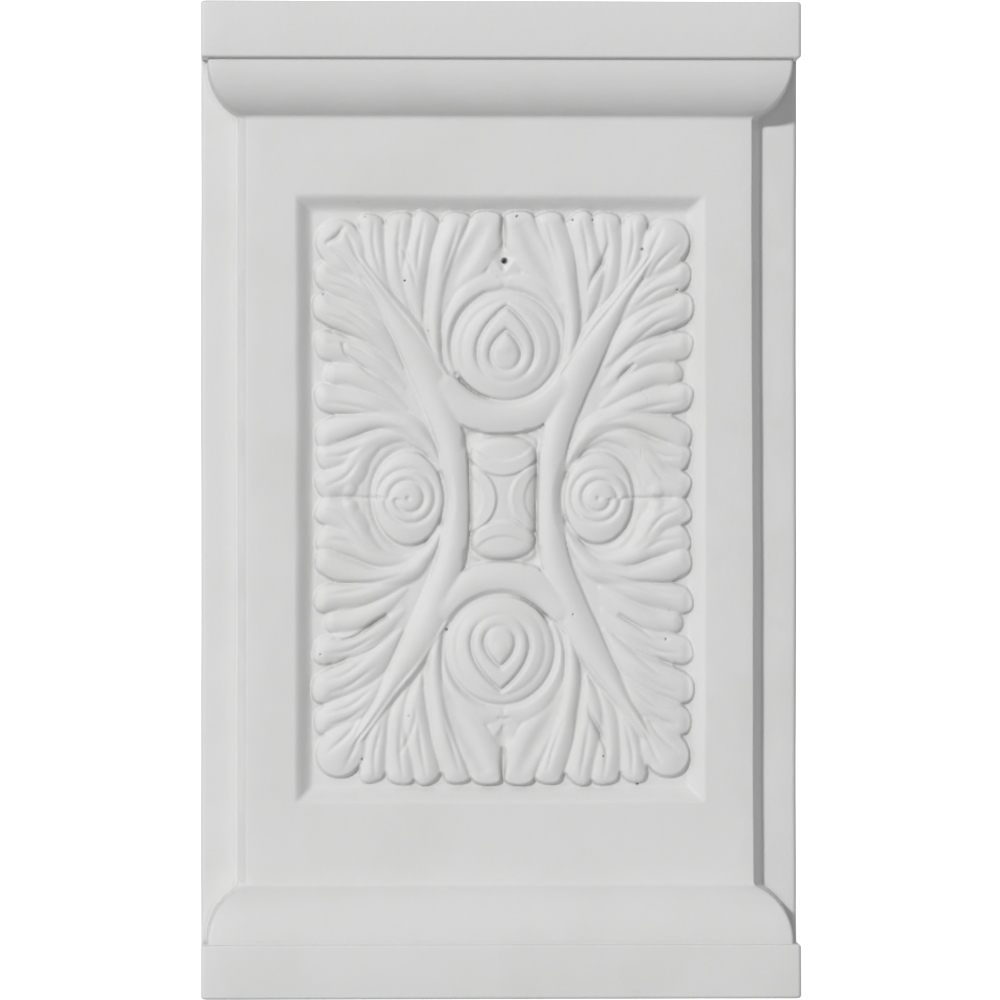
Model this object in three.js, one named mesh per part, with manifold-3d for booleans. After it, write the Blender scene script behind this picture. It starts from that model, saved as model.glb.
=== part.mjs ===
import * as THREE from 'three';
import { mergeVertices } from 'three/addons/utils/BufferGeometryUtils.js';
import Module from 'manifold-3d';

// Plinth block for the foot of a door casing: a back plate, a raised die with a sunk and carved panel,
// and the same ovolo and fascia at the foot and at the head. Millimetres, +Z up, the front faces -Y,
// and the origin is the middle of the underside.

// Overall size
const BLOCK_WIDTH = 120.5;
const BLOCK_HEIGHT = 200;
const PLATE_THICKNESS = 15.6;

// Mouldings: the fascia is the flat band at the head and foot, the ovolo leads from it to the die and
// starts with a short straight part
const CAP_FASCIA_HEIGHT = 11.4;
const BASE_FASCIA_HEIGHT = 10.9;
const FASCIA_STEP = 1.4;
const OVOLO_STRAIGHT = 0.5;
const OVOLO_RADIUS = 11.6;
const OVOLO_SWEEP_DEGREES = 70;
const OVOLO_STEPS = 7;

// Die: how far its face stands in front of the plate, and how far its sides lean out towards it
const DIE_PROJECTION = 4;
const DIE_SIDE_DRAFT = 1.6;

// Sunk panel: the flat margins round it, how far it lies to the right of the die's middle and above it,
// its depth and the curved edge that leads down to its ground
const STILE_WIDTH = 9.65;
const RAIL_WIDTH = 15.9;
const PANEL_SHIFT = 0.14;
const PANEL_RAISE = 0.45;
const PANEL_DEPTH = 2.8;
const PANEL_EDGE_WIDTH = 4;
const PANEL_EDGE_STEPS = 5;

// Carving: its margin inside the panel opening, how far it lies to the right of the block's middle and
// above the panel's, the slope of its outer walls and how deep it is rooted in the ground
const CARVING_MARGIN = 3.77;
const CARVING_SHIFT = 0.75;
const CARVING_RAISE = 0.17;
const CARVING_WALL_SLOPE = 2;
const CARVING_ROOT = 0.6;

// The carving is drawn on a sheet of this half width and half height, and is scaled to its panel.
const DRAWN_HALF_WIDTH = 38;
const DRAWN_HALF_HEIGHT = 58.1;
const SHEET_BORDER = 1.9;

// Lobes and bands: how softly their outlines join, and how far a slanting tip reaches beyond its spine,
// as a share of its half width, and how round its corners are
const OUTLINE_FILLET = 0.5;
const TIP_REACH = 0.85;
const TIP_ROUND = 2;

// Rosettes: the slope of their steep rim, how full their dome is, and the shape of the grooves in them
const RIM_SLOPE = 2;
const DOME_FULLNESS = 0.6;
const GROOVE_TIP_TURN = 0.5;
const GROOVE_TIP_POWER = 1.1;
const GROOVE_POWER = 1.4;
const GROOVE_FADE_TURN = 1.2;
const PIT_HALF_WIDTH = 0.5;

// Facets of the carving: the cell of the grid that their corners lie on, and how many corners one
// quarter of it has
const SHEET_CELL = 0.35;
const CORNERS_IN_QUARTER = 1000;

// Steps along one spine of the carving
const SPINE_STEPS = 24;

// Corners closer together than this are one corner, and a share this far below zero still counts as zero
const WELD_DISTANCE = 1e-5;
const SHARE_TOLERANCE = 1e-9;

// Sizes worked out from the ones above. An offset is measured outwards from the die, on the front and
// on both sides alike.
const sweep = THREE.MathUtils.degToRad(OVOLO_SWEEP_DEGREES);
const ovoloRun = OVOLO_RADIUS * (1 - Math.cos(sweep));
const ovoloRise = OVOLO_RADIUS * Math.sin(sweep);
const fasciaOffset = ovoloRun + FASCIA_STEP;
const dieHalfWidth = BLOCK_WIDTH / 2 - fasciaOffset;
const blockDepth = PLATE_THICKNESS + DIE_PROJECTION + fasciaOffset;
const backY = blockDepth / 2;
const plateFrontY = backY - PLATE_THICKNESS;
const dieFrontY = plateFrontY - DIE_PROJECTION;
const dieBottomZ = BASE_FASCIA_HEIGHT + OVOLO_STRAIGHT + ovoloRise;
const dieTopZ = BLOCK_HEIGHT - CAP_FASCIA_HEIGHT - OVOLO_STRAIGHT - ovoloRise;
const panelCentreZ = (dieBottomZ + dieTopZ) / 2 + PANEL_RAISE;
const openingHalfWidth = dieHalfWidth - STILE_WIDTH;
const openingHalfHeight = (dieTopZ - dieBottomZ) / 2 - RAIL_WIDTH;
const panelFloorY = dieFrontY + PANEL_DEPTH;
const carvingScaleX = (openingHalfWidth - CARVING_MARGIN) / DRAWN_HALF_WIDTH;
const carvingScaleZ = (openingHalfHeight - CARVING_MARGIN) / DRAWN_HALF_HEIGHT;
const carvingCentreZ = panelCentreZ + CARVING_RAISE;

const wasm = await Module();
wasm.setup();

// A closed geometry as a solid that can be joined and cut
function toSolid(geometry) {
  geometry.deleteAttribute('normal');
  geometry.deleteAttribute('uv');
  const merged = mergeVertices(geometry, WELD_DISTANCE);
  return new wasm.Manifold(new wasm.Mesh({
    numProp: 3,
    vertProperties: new Float32Array(merged.attributes.position.array),
    triVerts: new Uint32Array(merged.index.array),
  }));
}

function toGeometry(solid) {
  const mesh = solid.getMesh();
  const geometry = new THREE.BufferGeometry();
  geometry.setAttribute('position', new THREE.BufferAttribute(mesh.vertProperties, 3));
  geometry.setIndex(new THREE.BufferAttribute(mesh.triVerts, 1));
  return geometry;
}

// A closed skin over rings of corners, with a flat lid on the first ring and on the last. Seen from
// the last ring back to the first, the corners of each ring run counter-clockwise.
function loftRings(rings) {
  const corners = rings[0].length;
  const positions = rings.flat().flatMap((point) => point.toArray());
  const faces = [];
  for (let ring = 0; ring + 1 < rings.length; ring += 1) {
    for (let corner = 0; corner < corners; corner += 1) {
      const next = (corner + 1) % corners;
      const low = ring * corners;
      const high = low + corners;
      faces.push(low + corner, low + next, high + next, low + corner, high + next, high + corner);
    }
  }
  const last = (rings.length - 1) * corners;
  for (let corner = 1; corner + 1 < corners; corner += 1) {
    faces.push(0, corner + 1, corner);
    faces.push(last, last + corner, last + corner + 1);
  }
  const geometry = new THREE.BufferGeometry();
  geometry.setAttribute('position', new THREE.Float32BufferAttribute(positions, 3));
  geometry.setIndex(faces);
  return toSolid(geometry);
}

function makePlate() {
  const geometry = new THREE.BoxGeometry(BLOCK_WIDTH, PLATE_THICKNESS, BLOCK_HEIGHT);
  geometry.translate(0, backY - PLATE_THICKNESS / 2, BLOCK_HEIGHT / 2);
  return toSolid(geometry);
}

// Heights and offsets of one ovolo, from the fascia to the die; direction is 1 upwards, -1 downwards
function ovoloProfile(fasciaZ, direction) {
  const profile = [{ z: fasciaZ, offset: ovoloRun }];
  for (let step = 0; step <= OVOLO_STEPS; step += 1) {
    const angle = sweep * step / OVOLO_STEPS;
    const z = fasciaZ + direction * (OVOLO_STRAIGHT + OVOLO_RADIUS * Math.sin(angle));
    const offset = ovoloRun - OVOLO_RADIUS * (1 - Math.cos(angle));
    profile.push({ z, offset });
  }
  return profile;
}

// The moulded body in front of the plate: base fascia, ovolo, die, ovolo and cap fascia, mitred and
// returned along both sides
function makeBody() {
  const baseTop = BASE_FASCIA_HEIGHT;
  const capFoot = BLOCK_HEIGHT - CAP_FASCIA_HEIGHT;
  const profile = [
    { z: 0, offset: fasciaOffset },
    { z: baseTop, offset: fasciaOffset },
    ...ovoloProfile(baseTop, 1),
    ...ovoloProfile(capFoot, -1).reverse(),
    { z: capFoot, offset: fasciaOffset },
    { z: BLOCK_HEIGHT, offset: fasciaOffset },
  ];
  const insideY = plateFrontY + PLATE_THICKNESS / 2;
  const rings = profile.map(({ z, offset }) => {
    const front = dieHalfWidth + offset;
    const lean = DIE_SIDE_DRAFT * Math.max(0, 1 - offset / ovoloRun);
    const back = front + lean;
    const frontY = dieFrontY - offset;
    return [
      new THREE.Vector3(-front, frontY, z),
      new THREE.Vector3(front, frontY, z),
      new THREE.Vector3(back, plateFrontY, z),
      new THREE.Vector3(back, insideY, z),
      new THREE.Vector3(-back, insideY, z),
      new THREE.Vector3(-back, plateFrontY, z),
    ];
  });
  return loftRings(rings);
}

// What is cut away for the sunk panel: a prism with a curved edge all round
function makePanelCutter() {
  const sections = [{ inset: 0, y: dieFrontY - PANEL_DEPTH }];
  for (let step = 0; step <= PANEL_EDGE_STEPS; step += 1) {
    const share = step / PANEL_EDGE_STEPS;
    const depth = PANEL_DEPTH * ease(share);
    sections.push({ inset: PANEL_EDGE_WIDTH * share, y: dieFrontY + depth });
  }
  const rings = sections.map(({ inset, y }) => {
    const x = openingHalfWidth - inset;
    const z = openingHalfHeight - inset;
    return [
      new THREE.Vector3(PANEL_SHIFT - x, y, panelCentreZ + z),
      new THREE.Vector3(PANEL_SHIFT + x, y, panelCentreZ + z),
      new THREE.Vector3(PANEL_SHIFT + x, y, panelCentreZ - z),
      new THREE.Vector3(PANEL_SHIFT - x, y, panelCentreZ - z),
    ];
  });
  return loftRings(rings);
}

// The carving is the same in all four quarters, so one quarter is drawn: a runs outwards from the
// middle line, b upwards or downwards from it, and each height is measured from the panel's ground.

// A value that eases from 0 to 1 while its argument does
function ease(value) {
  const share = THREE.MathUtils.clamp(value, 0, 1);
  return share * share * (3 - 2 * share);
}

// The larger of two heights, with a fillet of the given size where they meet
function joinHeights(first, second, fillet) {
  const share = THREE.MathUtils.clamp(0.5 + (first - second) / (2 * fillet), 0, 1);
  return second + (first - second) * share + fillet * share * (1 - share);
}

// A value that changes smoothly along a spine, given at even distances along it
function valueAlong(values, share) {
  const known = values.map((value, index) => new THREE.Vector2(index, value));
  return new THREE.SplineCurve(known).getPoint(THREE.MathUtils.clamp(share, 0, 1)).y;
}

// A ridge of the carving: a spine from tip to root, with half widths and crest heights along it. Its
// section rounds down by drop to its edge, is tilted sideways by lean, and falls away from its edge at
// the given slope. A slant turns the end of its tip by so many degrees.
class Ridge {
  constructor({ half, crest, spine, drop = 0.45, slope = 0.7, fillet = 0.35, lean = 0, slant = 0 }) {
    Object.assign(this, { half, crest, drop, slope, fillet, lean, slant });
    const curve = new THREE.SplineCurve(spine.map(([a, b]) => new THREE.Vector2(a, b)));
    this.path = curve.getSpacedPoints(SPINE_STEPS);
    const outward = this.path[0].clone().sub(this.path[1]).normalize();
    this.facing = outward.rotateAround(new THREE.Vector2(), THREE.MathUtils.degToRad(slant));
  }

  // The distance from a point of the sheet to the spine, how far along the spine that is, and the side
  // of the spine on which the point lies
  nearest(a, b) {
    const found = { distance: Infinity, share: 0, side: 0 };
    for (let step = 0; step < SPINE_STEPS; step += 1) {
      const from = this.path[step];
      const runA = this.path[step + 1].x - from.x;
      const runB = this.path[step + 1].y - from.y;
      const along = ((a - from.x) * runA + (b - from.y) * runB) / (runA * runA + runB * runB);
      const part = THREE.MathUtils.clamp(along, 0, 1);
      const distance = Math.hypot(a - from.x - part * runA, b - from.y - part * runB);
      if (distance < found.distance) {
        const side = Math.sign(runA * (b - from.y) - runB * (a - from.x));
        Object.assign(found, { distance, share: (step + part) / SPINE_STEPS, side });
      }
    }
    return found;
  }

  // How far a point lies beyond the slanting end of the tip
  beyondTip(a, b) {
    const tip = this.path[0];
    return (a - tip.x) * this.facing.x + (b - tip.y) * this.facing.y - TIP_REACH * this.half[0];
  }

  carve(place) {
    const { distance, share, side } = this.nearest(place.a, place.b);
    const half = valueAlong(this.half, share);
    const tipped = half + this.beyondTip(place.a, place.b);
    const away = this.slant === 0 ? distance : joinHeights(distance, tipped, TIP_ROUND);
    const across = Math.min(away / half, 1);
    const fall = this.slope * Math.max(0, away - half);
    const height = valueAlong(this.crest, share) - this.drop * across ** 2 + this.lean * side * across - fall;
    place.height = joinHeights(place.height, height, this.fillet);
    place.inside = joinHeights(place.inside, half - away, OUTLINE_FILLET);
  }
}

// Low webs that tie the lobes of each leaf together
const WEBS = [
  {
    half: [4.2, 3.6, 3.4, 3.2, 3, 3.4, 3.6],
    crest: [1.25, 1.25],
    spine: [[31, 48.5], [30.8, 42], [31, 34], [30.2, 26], [30.8, 17], [31.6, 9], [32, 0]],
    drop: 0.1,
  },
  {
    half: [5, 6, 6, 6, 5, 4],
    crest: [0.8, 0.7, 0.7, 0.9],
    spine: [[24, 47], [22, 36], [19, 25], [20, 14], [24, 6], [27, 0]],
    drop: 0.1,
  },
  {
    half: [3.6, 4.2, 4.4, 4.2, 3],
    crest: [1.25, 1.25],
    spine: [[30, 50], [25, 51], [19, 51], [12, 51.4], [5, 52.2]],
    drop: 0.1,
  },
  {
    half: [4, 5, 5, 5, 4],
    crest: [0.9, 0.9],
    spine: [[24, 46], [20, 42], [17, 36], [13, 31], [12, 27]],
    drop: 0.1,
  },
  {
    half: [3, 3.2, 3],
    crest: [1.1, 1.1],
    spine: [[17, 52], [15, 46], [13.4, 40]],
    drop: 0.1,
  },
  {
    half: [3.4, 3, 2.6],
    crest: [1, 1],
    spine: [[3, 53], [5.6, 49], [8.6, 43.5]],
    drop: 0.1,
  },
  {
    half: [2.2, 2.2, 2.2],
    crest: [1.1, 1.1],
    spine: [[14.6, 15], [13, 8], [12.8, 0]],
    drop: 0.1,
  },
  {
    half: [1.2, 1.2, 1.2],
    crest: [1, 1],
    spine: [[-3, 41.8], [0, 42], [4.3, 41.2], [8, 38.7], [10.5, 35], [11.3, 30.7], [10.5, 26.4]],
    drop: 0.1,
  },
];

// The leaf along the side, from the lobe in the corner down to the middle
const SIDE_LEAF = [
  {
    half: [4.3, 4.2, 2.2],
    crest: [2.1, 2.2, 1.8],
    spine: [[33.4, 52.1], [31.4, 49.4], [29.2, 46]],
    drop: 0.6,
    fillet: 0.5,
  },
  {
    half: [2.6, 3.1, 3.1, 2.6, 0.9],
    crest: [1.9, 2.1, 2.1, 1.6, 0.8],
    spine: [[36.1, 45.4], [33.6, 43.9], [30.4, 42.6], [26.8, 39.6], [22.6, 34.2]],
    drop: 0.75,
    fillet: 0.5,
    slant: -32,
  },
  {
    half: [2.8, 2.9, 2.7, 2.4, 1.4],
    crest: [1.7, 1.8, 1.9, 1.6, 0.9],
    spine: [[36.1, 31], [33.4, 30.4], [30.4, 29.7], [26.4, 27.8], [20.4, 22.8]],
    drop: 0.7,
    fillet: 0.45,
    slant: -28,
  },
  {
    half: [2.4, 2.4, 2.3, 1.5],
    crest: [1.6, 1.9, 1.6, 0.8],
    spine: [[33.9, 25.2], [30.2, 25], [26, 23], [20, 18.4]],
    drop: 0.7,
    slope: 1,
    fillet: 0.25,
  },
  {
    half: [2.6, 2.8, 2.5, 2.2, 1.4],
    crest: [1.9, 2, 2.1, 1.6, 0.8],
    spine: [[36.2, 20.6], [33.4, 19.8], [30.2, 19.4], [25.6, 18.4], [18.4, 15.7]],
    drop: 0.7,
    fillet: 0.45,
    slant: -32,
  },
  {
    half: [2.9, 3.3, 3.4, 2.9, 1.1],
    crest: [2, 2.3, 2.4, 1.9, 0.8],
    spine: [[36.3, 38.8], [33.6, 37.5], [30.4, 36.1], [26.2, 32.8], [20.6, 26.8]],
    drop: 0.7,
    slope: 1.5,
    fillet: 0.2,
    slant: -28,
  },
];

// The end of that leaf, rolled up round the side rosette
const SIDE_ROLLS = [
  {
    half: [2.7, 2.8, 2.4, 1.9, 1.2],
    crest: [1.8, 1.9, 1.9, 1.8, 1.6],
    spine: [[35.6, 8.4], [33.4, 8.8], [31, 9.6], [27.8, 11.2], [24, 12.6]],
    drop: 0.6,
    fillet: 0.4,
    slant: -12,
  },
  {
    half: [2.8, 2.9, 2.7, 2, 1.2],
    crest: [1.9, 2, 2, 1.8, 1.5],
    spine: [[35.6, 2.6], [33.4, 3.4], [31.2, 4.8], [28.8, 8.2], [25, 11.4]],
    drop: 0.6,
    fillet: 0.4,
    slant: -8,
  },
  {
    half: [2.6, 2.9, 2.6, 2.2, 2, 1.5],
    crest: [2, 2.1, 2.2, 2.2, 2, 1.4],
    spine: [[36, 12.7], [33.4, 13.9], [30.2, 15], [25, 15.9], [18.6, 14.5], [14.6, 9.8]],
    drop: 0.7,
    slope: 0.9,
    slant: 20,
  },
  {
    half: [1.9, 2.1, 2.3, 2.1, 1.6, 1],
    crest: [1.8, 1.9, 2, 1.9, 1.7, 1.3],
    spine: [[31.4, 2], [30.6, 7.4], [26.8, 11.9], [20.6, 13.8], [15.6, 11], [13, 6]],
    drop: 0.5,
    slope: 1,
    fillet: 0.3,
  },
];

// The leaf along the top or bottom, from the corner to the middle, and the roll round its rosette
const END_LEAF = [
  {
    half: [2.5, 2.6, 2.4, 2, 0.9],
    crest: [1.8, 2, 2.1, 1.6, 0.8],
    spine: [[26.7, 55.6], [26.4, 53.4], [26.1, 50.6], [25, 45.4], [22, 39.6]],
    drop: 0.7,
    fillet: 0.45,
    slant: 26,
  },
  {
    half: [2.8, 2.9, 2.6, 2.2, 1],
    crest: [1.8, 2, 2, 1.6, 0.8],
    spine: [[20.8, 55.7], [21, 53.4], [21.4, 50.2], [21.5, 44.8], [19.4, 38]],
    drop: 0.6,
    fillet: 0.4,
    slant: -14,
  },
  {
    half: [2.6, 2.8, 2.7, 2.1, 0.9],
    crest: [1.9, 2.1, 2.3, 1.9, 0.9],
    spine: [[15.6, 55.8], [16.1, 53.4], [17.1, 50.2], [18.2, 44.2], [16.8, 36]],
    drop: 0.6,
    slope: 1.2,
    fillet: 0.2,
    slant: 26,
  },
  {
    half: [2.8, 2.9, 2.6, 1.9, 1.7, 1.5, 1.3, 1],
    crest: [1.9, 2.1, 2.3, 2.3, 2.2, 2.1, 2, 1.6],
    spine: [
      [9.3, 55.6], [9.9, 53.6], [10.9, 50.8], [12.2, 46.6], [13.4, 41], [14, 36], [13.8, 31], [13, 27.4],
    ],
    drop: 0.55,
    slope: 1.3,
    fillet: 0.2,
    slant: -10,
  },
  {
    half: [3.3, 3.6, 4, 3.4, 2.6, 1.9],
    crest: [1.8, 1.9, 2, 1.9, 1.8, 1.6],
    spine: [[3.2, 55.3], [3.9, 53.6], [4.9, 51.2], [8, 47.2], [11, 43], [12.6, 38]],
    drop: 0.35,
    slope: 1.2,
    fillet: 0.25,
    slant: -20,
  },
  {
    half: [2.1, 2.2, 2.1, 1.6, 1, 0.8],
    crest: [1.6, 1.8, 1.9, 1.9, 1.7, 1.4],
    spine: [[1.9, 44.2], [5, 43.8], [8.3, 41.2], [10.7, 36.8], [11.5, 31], [10.4, 26]],
    drop: 0.3,
    slope: 1.2,
    fillet: 0.15,
    lean: -0.35,
  },
];

// The upright band, with the stem that runs on from it to the corner, and the arch over the boss
const BANDS = [
  {
    half: [2.45, 2.5, 2.6, 2.75, 2.9, 3.2, 2.9, 2.1, 1.45, 0.95, 0.35],
    crest: [2.3, 2.3, 2.3, 2.35, 2.35, 2.2],
    spine: [
      [9.7, -3], [9.7, 3], [10.05, 9], [11.3, 14.6], [13.2, 19.8], [15, 24.8], [17.7, 30.2], [21.2, 35.6],
      [24.3, 40.6], [27.2, 44.8], [31.2, 50.6],
    ],
    drop: 0.7,
    slope: 1.3,
    fillet: 0.5,
  },
  {
    half: [3.3, 3.3, 3.3, 3.2, 2.8],
    crest: [2.25, 2.25],
    spine: [[-4, 16.8], [0, 16.4], [4.2, 16.9], [8, 18.8], [11.8, 22.4]],
    drop: 0.6,
    slope: 1.4,
    fillet: 0.5,
  },
];

// The boss in the middle: a cushion with arched ends. Four lenses bite into it from its sides, each
// with a lower dish inside it, and what is left between them is sunk. Its corners are rounded and its
// foot spreads a little beyond its outline.
const BOSS = {
  reach: [11, 17],
  halfWidth: 6.75,
  shoulder: 9.4,
  rise: 3.1,
  cornerRound: 1.2,
  spread: 0.25,
  edgeRound: 3.4,
  rimSlope: 2,
  fillet: 0.1,
  footHeight: 0.8,
  innerHeight: 1,
  crown: 1.6,
  cambers: [0.014, 0.0024],
  sunkBy: 0.5,
  lensEdge: 0.25,
  dishBy: 0.2,
  dishEdge: 0.3,
  lenses: [{ centre: [0, 12.9], radius: 8.3 }, { centre: [8.2, 0], radius: 6.8 }],
  dishes: [{ centre: [0, 15], radius: 7.5 }, { centre: [10.5, 0], radius: 6.2 }],
};

class Boss {
  // How far a point lies inside the nearest of some circles
  static insideCircles(circles, a, b) {
    const depths = circles.map(({ centre, radius }) => radius - Math.hypot(a - centre[0], b - centre[1]));
    return Math.max(...depths);
  }

  carve(place) {
    const { a, b } = place;
    if (a > BOSS.reach[0] || b > BOSS.reach[1]) return;
    place.inside = Math.max(place.inside, BOSS.innerHeight);
    const arch = Math.sqrt(Math.max(0, 1 - (a / BOSS.halfWidth) ** 2));
    const toEnd = BOSS.shoulder + BOSS.rise * arch - b;
    const edge = BOSS.spread - joinHeights(a - BOSS.halfWidth, -toEnd, BOSS.cornerRound);
    const round = 1 - THREE.MathUtils.clamp(edge / BOSS.edgeRound, 0, 1);
    let height = BOSS.footHeight + BOSS.crown * Math.sqrt(1 - round ** 2);
    height -= BOSS.cambers[0] * a ** 2 + BOSS.cambers[1] * b ** 2;
    if (edge < 0) height = BOSS.footHeight + BOSS.rimSlope * edge;
    const lens = Boss.insideCircles(BOSS.lenses, a, b);
    const dish = Boss.insideCircles(BOSS.dishes, a, b);
    height -= BOSS.sunkBy * (1 - ease(lens / BOSS.lensEdge + 0.5));
    height -= BOSS.dishBy * ease(dish / BOSS.dishEdge + 0.5);
    place.height = joinHeights(Math.max(place.height, BOSS.footHeight), height, BOSS.fillet);
  }
}

// A rosette: a dome on a rim, in a bed that is sunk round it, with grooves round its petals. A groove is
// a round of the given radius that is drawn out to a tip on the side away from the boss, and fades on
// the other side.
class Rosette {
  constructor({ centre, radii, rim, crown, bed, grooves, pit = 0 }) {
    Object.assign(this, { centre, radii, rim, crown, bed, grooves, pit });
  }

  // How deep the grooves and the pit are at a point
  cutAway(a, b) {
    let depth = this.pit * Math.exp(-((Math.hypot(a, b) / PIT_HALF_WIDTH) ** 2));
    for (const groove of this.grooves) {
      const rise = b - groove.shift;
      const turn = Math.atan2(Math.abs(a), rise);
      const drawn = Math.exp(-((turn / GROOVE_TIP_TURN) ** GROOVE_TIP_POWER)) * (groove.tip - groove.radius);
      const away = Math.abs(Math.hypot(a, rise) - groove.radius - drawn);
      const fade = 1 - groove.fade * ease((turn - Math.PI / 2) / GROOVE_FADE_TURN);
      depth += groove.depth * fade * Math.exp(-((away / groove.halfWidth) ** GROOVE_POWER));
    }
    return depth;
  }

  carve(place) {
    const a = place.a - this.centre[0];
    const b = place.b - this.centre[1];
    const least = Math.min(...this.radii);
    const radius = Math.hypot(a / this.radii[0], b / this.radii[1]);
    const past = (radius - 1) * least;
    place.inside = Math.max(place.inside, -past);
    if (radius < 1) {
      place.height = this.rim + this.crown * (1 - radius ** 2) ** DOME_FULLNESS - this.cutAway(a, b);
    } else if (place.height > this.rim) {
      place.height = this.rim + (place.height - this.rim) * ease(past / (this.bed * least));
    } else {
      place.height = Math.max(place.height, this.rim - RIM_SLOPE * past);
    }
  }
}

const END_ROSETTE = {
  centre: [0, 30.7],
  radii: [10.9, 10.9],
  rim: 1.3,
  crown: 1.6,
  bed: 0.1,
  grooves: [
    { shift: -0.5, radius: 9, tip: 9.9, depth: 0.2, halfWidth: 0.5, fade: 0.8 },
    { shift: -1.3, radius: 5.8, tip: 9.4, depth: 0.8, halfWidth: 0.65, fade: 0.8 },
    { shift: -1.7, radius: 3.1, tip: 5, depth: 0.8, halfWidth: 0.75, fade: 0.6 },
  ],
};

const SIDE_ROSETTE = {
  centre: [19.3, 0],
  radii: [7, 9.3],
  rim: 1.2,
  crown: 1.2,
  bed: 0.35,
  grooves: [
    { shift: 0, radius: 5.6, tip: 5.6, depth: 0.3, halfWidth: 0.55, fade: 0 },
    { shift: 0, radius: 3.4, tip: 3.4, depth: 0.4, halfWidth: 0.6, fade: 0 },
  ],
  pit: 0.5,
};

const CARVING = [
  ...[...WEBS, ...SIDE_LEAF, ...SIDE_ROLLS, ...END_LEAF].map((ridge) => new Ridge(ridge)),
  new Boss(),
  ...BANDS.map((band) => new Ridge(band)),
  new Rosette(END_ROSETTE),
  new Rosette(SIDE_ROSETTE),
];

// Height of the carving over the ground at a point of the sheet; below the ground it keeps its root
function carvingHeight(a, b) {
  const place = { a, b, height: -CARVING_ROOT, inside: -DRAWN_HALF_WIDTH };
  for (const form of CARVING) form.carve(place);
  const wall = CARVING_WALL_SLOPE * Math.max(0, -place.inside);
  return Math.max(place.height - wall, -CARVING_ROOT);
}

// Twice the area of a facet of the sheet, positive where its corners run counter-clockwise
function doubleArea([ax, ay], [bx, by], [cx, cy]) {
  return (bx - ax) * (cy - ay) - (by - ay) * (cx - ax);
}

// Facets over one quarter of the sheet, on a grid of whole numbers. The corner of a new facet goes where
// the surface is furthest from the facets so far, and the facets stay as near to equal-sided as they
// can: no corner lies in the circle round another facet.
class FacetSheet {
  constructor(columns, rows, heightAt) {
    this.rows = rows;
    this.columns = columns;
    this.heights = [];
    for (let column = 0; column <= columns; column += 1) {
      const line = [];
      for (let row = 0; row <= rows; row += 1) line.push(heightAt(column, row));
      this.heights.push(line);
    }
    const [right, top] = [[columns, 0], [0, rows]];
    this.facets = [];
    this.addFacet([0, 0], right, top);
    this.addFacet(right, [columns, rows], top);
  }

  // The length of the surface over a unit of the sheet, by which an error on a steep wall counts less
  steepness(column, row) {
    const right = this.heights[Math.min(column + 1, this.columns)][row];
    const left = this.heights[Math.max(column - 1, 0)][row];
    const above = this.heights[column][Math.min(row + 1, this.rows)];
    const below = this.heights[column][Math.max(row - 1, 0)];
    const run = 2 * SHEET_CELL;
    return Math.hypot(1, (right - left) / run, (above - below) / run);
  }

  addFacet(...corners) {
    const area = doubleArea(...corners);
    if (area <= 0) return;
    const facet = { corners, error: 0, worst: null };
    const levels = corners.map(([column, row]) => this.heights[column][row]);
    const columns = corners.map(([column]) => column);
    const rows = corners.map(([, row]) => row);
    for (let column = Math.min(...columns); column <= Math.max(...columns); column += 1) {
      for (let row = Math.min(...rows); row <= Math.max(...rows); row += 1) {
        const point = [column, row];
        const first = doubleArea(corners[1], corners[2], point) / area;
        const second = doubleArea(corners[2], corners[0], point) / area;
        const third = 1 - first - second;
        if (first >= 0 && second >= 0 && third >= -SHARE_TOLERANCE) {
          const flat = first * levels[0] + second * levels[1] + third * levels[2];
          const error = Math.abs(flat - this.heights[column][row]) / this.steepness(column, row);
          if (error > facet.error) Object.assign(facet, { error, worst: point });
        }
      }
    }
    this.facets.push(facet);
  }

  // Whether a point lies inside the circle through a facet's corners, in whole numbers and so exactly
  static circleHolds({ corners }, [x, y]) {
    const [a, b, c] = corners.map((corner) => {
      const [dx, dy] = [corner[0] - x, corner[1] - y];
      return [dx, dy, dx * dx + dy * dy];
    });
    const minor = (first, second) => first[0] * second[1] - second[0] * first[1];
    return a[2] * minor(b, c) + b[2] * minor(c, a) + c[2] * minor(a, b) > 0;
  }

  // Replaces all facets whose circle holds the new corner by a fan round it
  addCorner(point) {
    const broken = this.facets.filter((facet) => FacetSheet.circleHolds(facet, point));
    this.facets = this.facets.filter((facet) => !broken.includes(facet));
    const edges = new Map();
    for (const { corners: [a, b, c] } of broken) {
      for (const [from, to] of [[a, b], [b, c], [c, a]]) {
        if (!edges.delete(`${to} ${from}`)) edges.set(`${from} ${to}`, [from, to]);
      }
    }
    for (const [from, to] of edges.values()) this.addFacet(from, to, point);
  }

  refine(cornerCount) {
    for (let count = 4; count < cornerCount; count += 1) {
      const worst = this.facets.reduce((found, facet) => (facet.error > found.error ? facet : found));
      if (worst.error === 0) return;
      this.addCorner(worst.worst);
    }
  }
}

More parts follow.
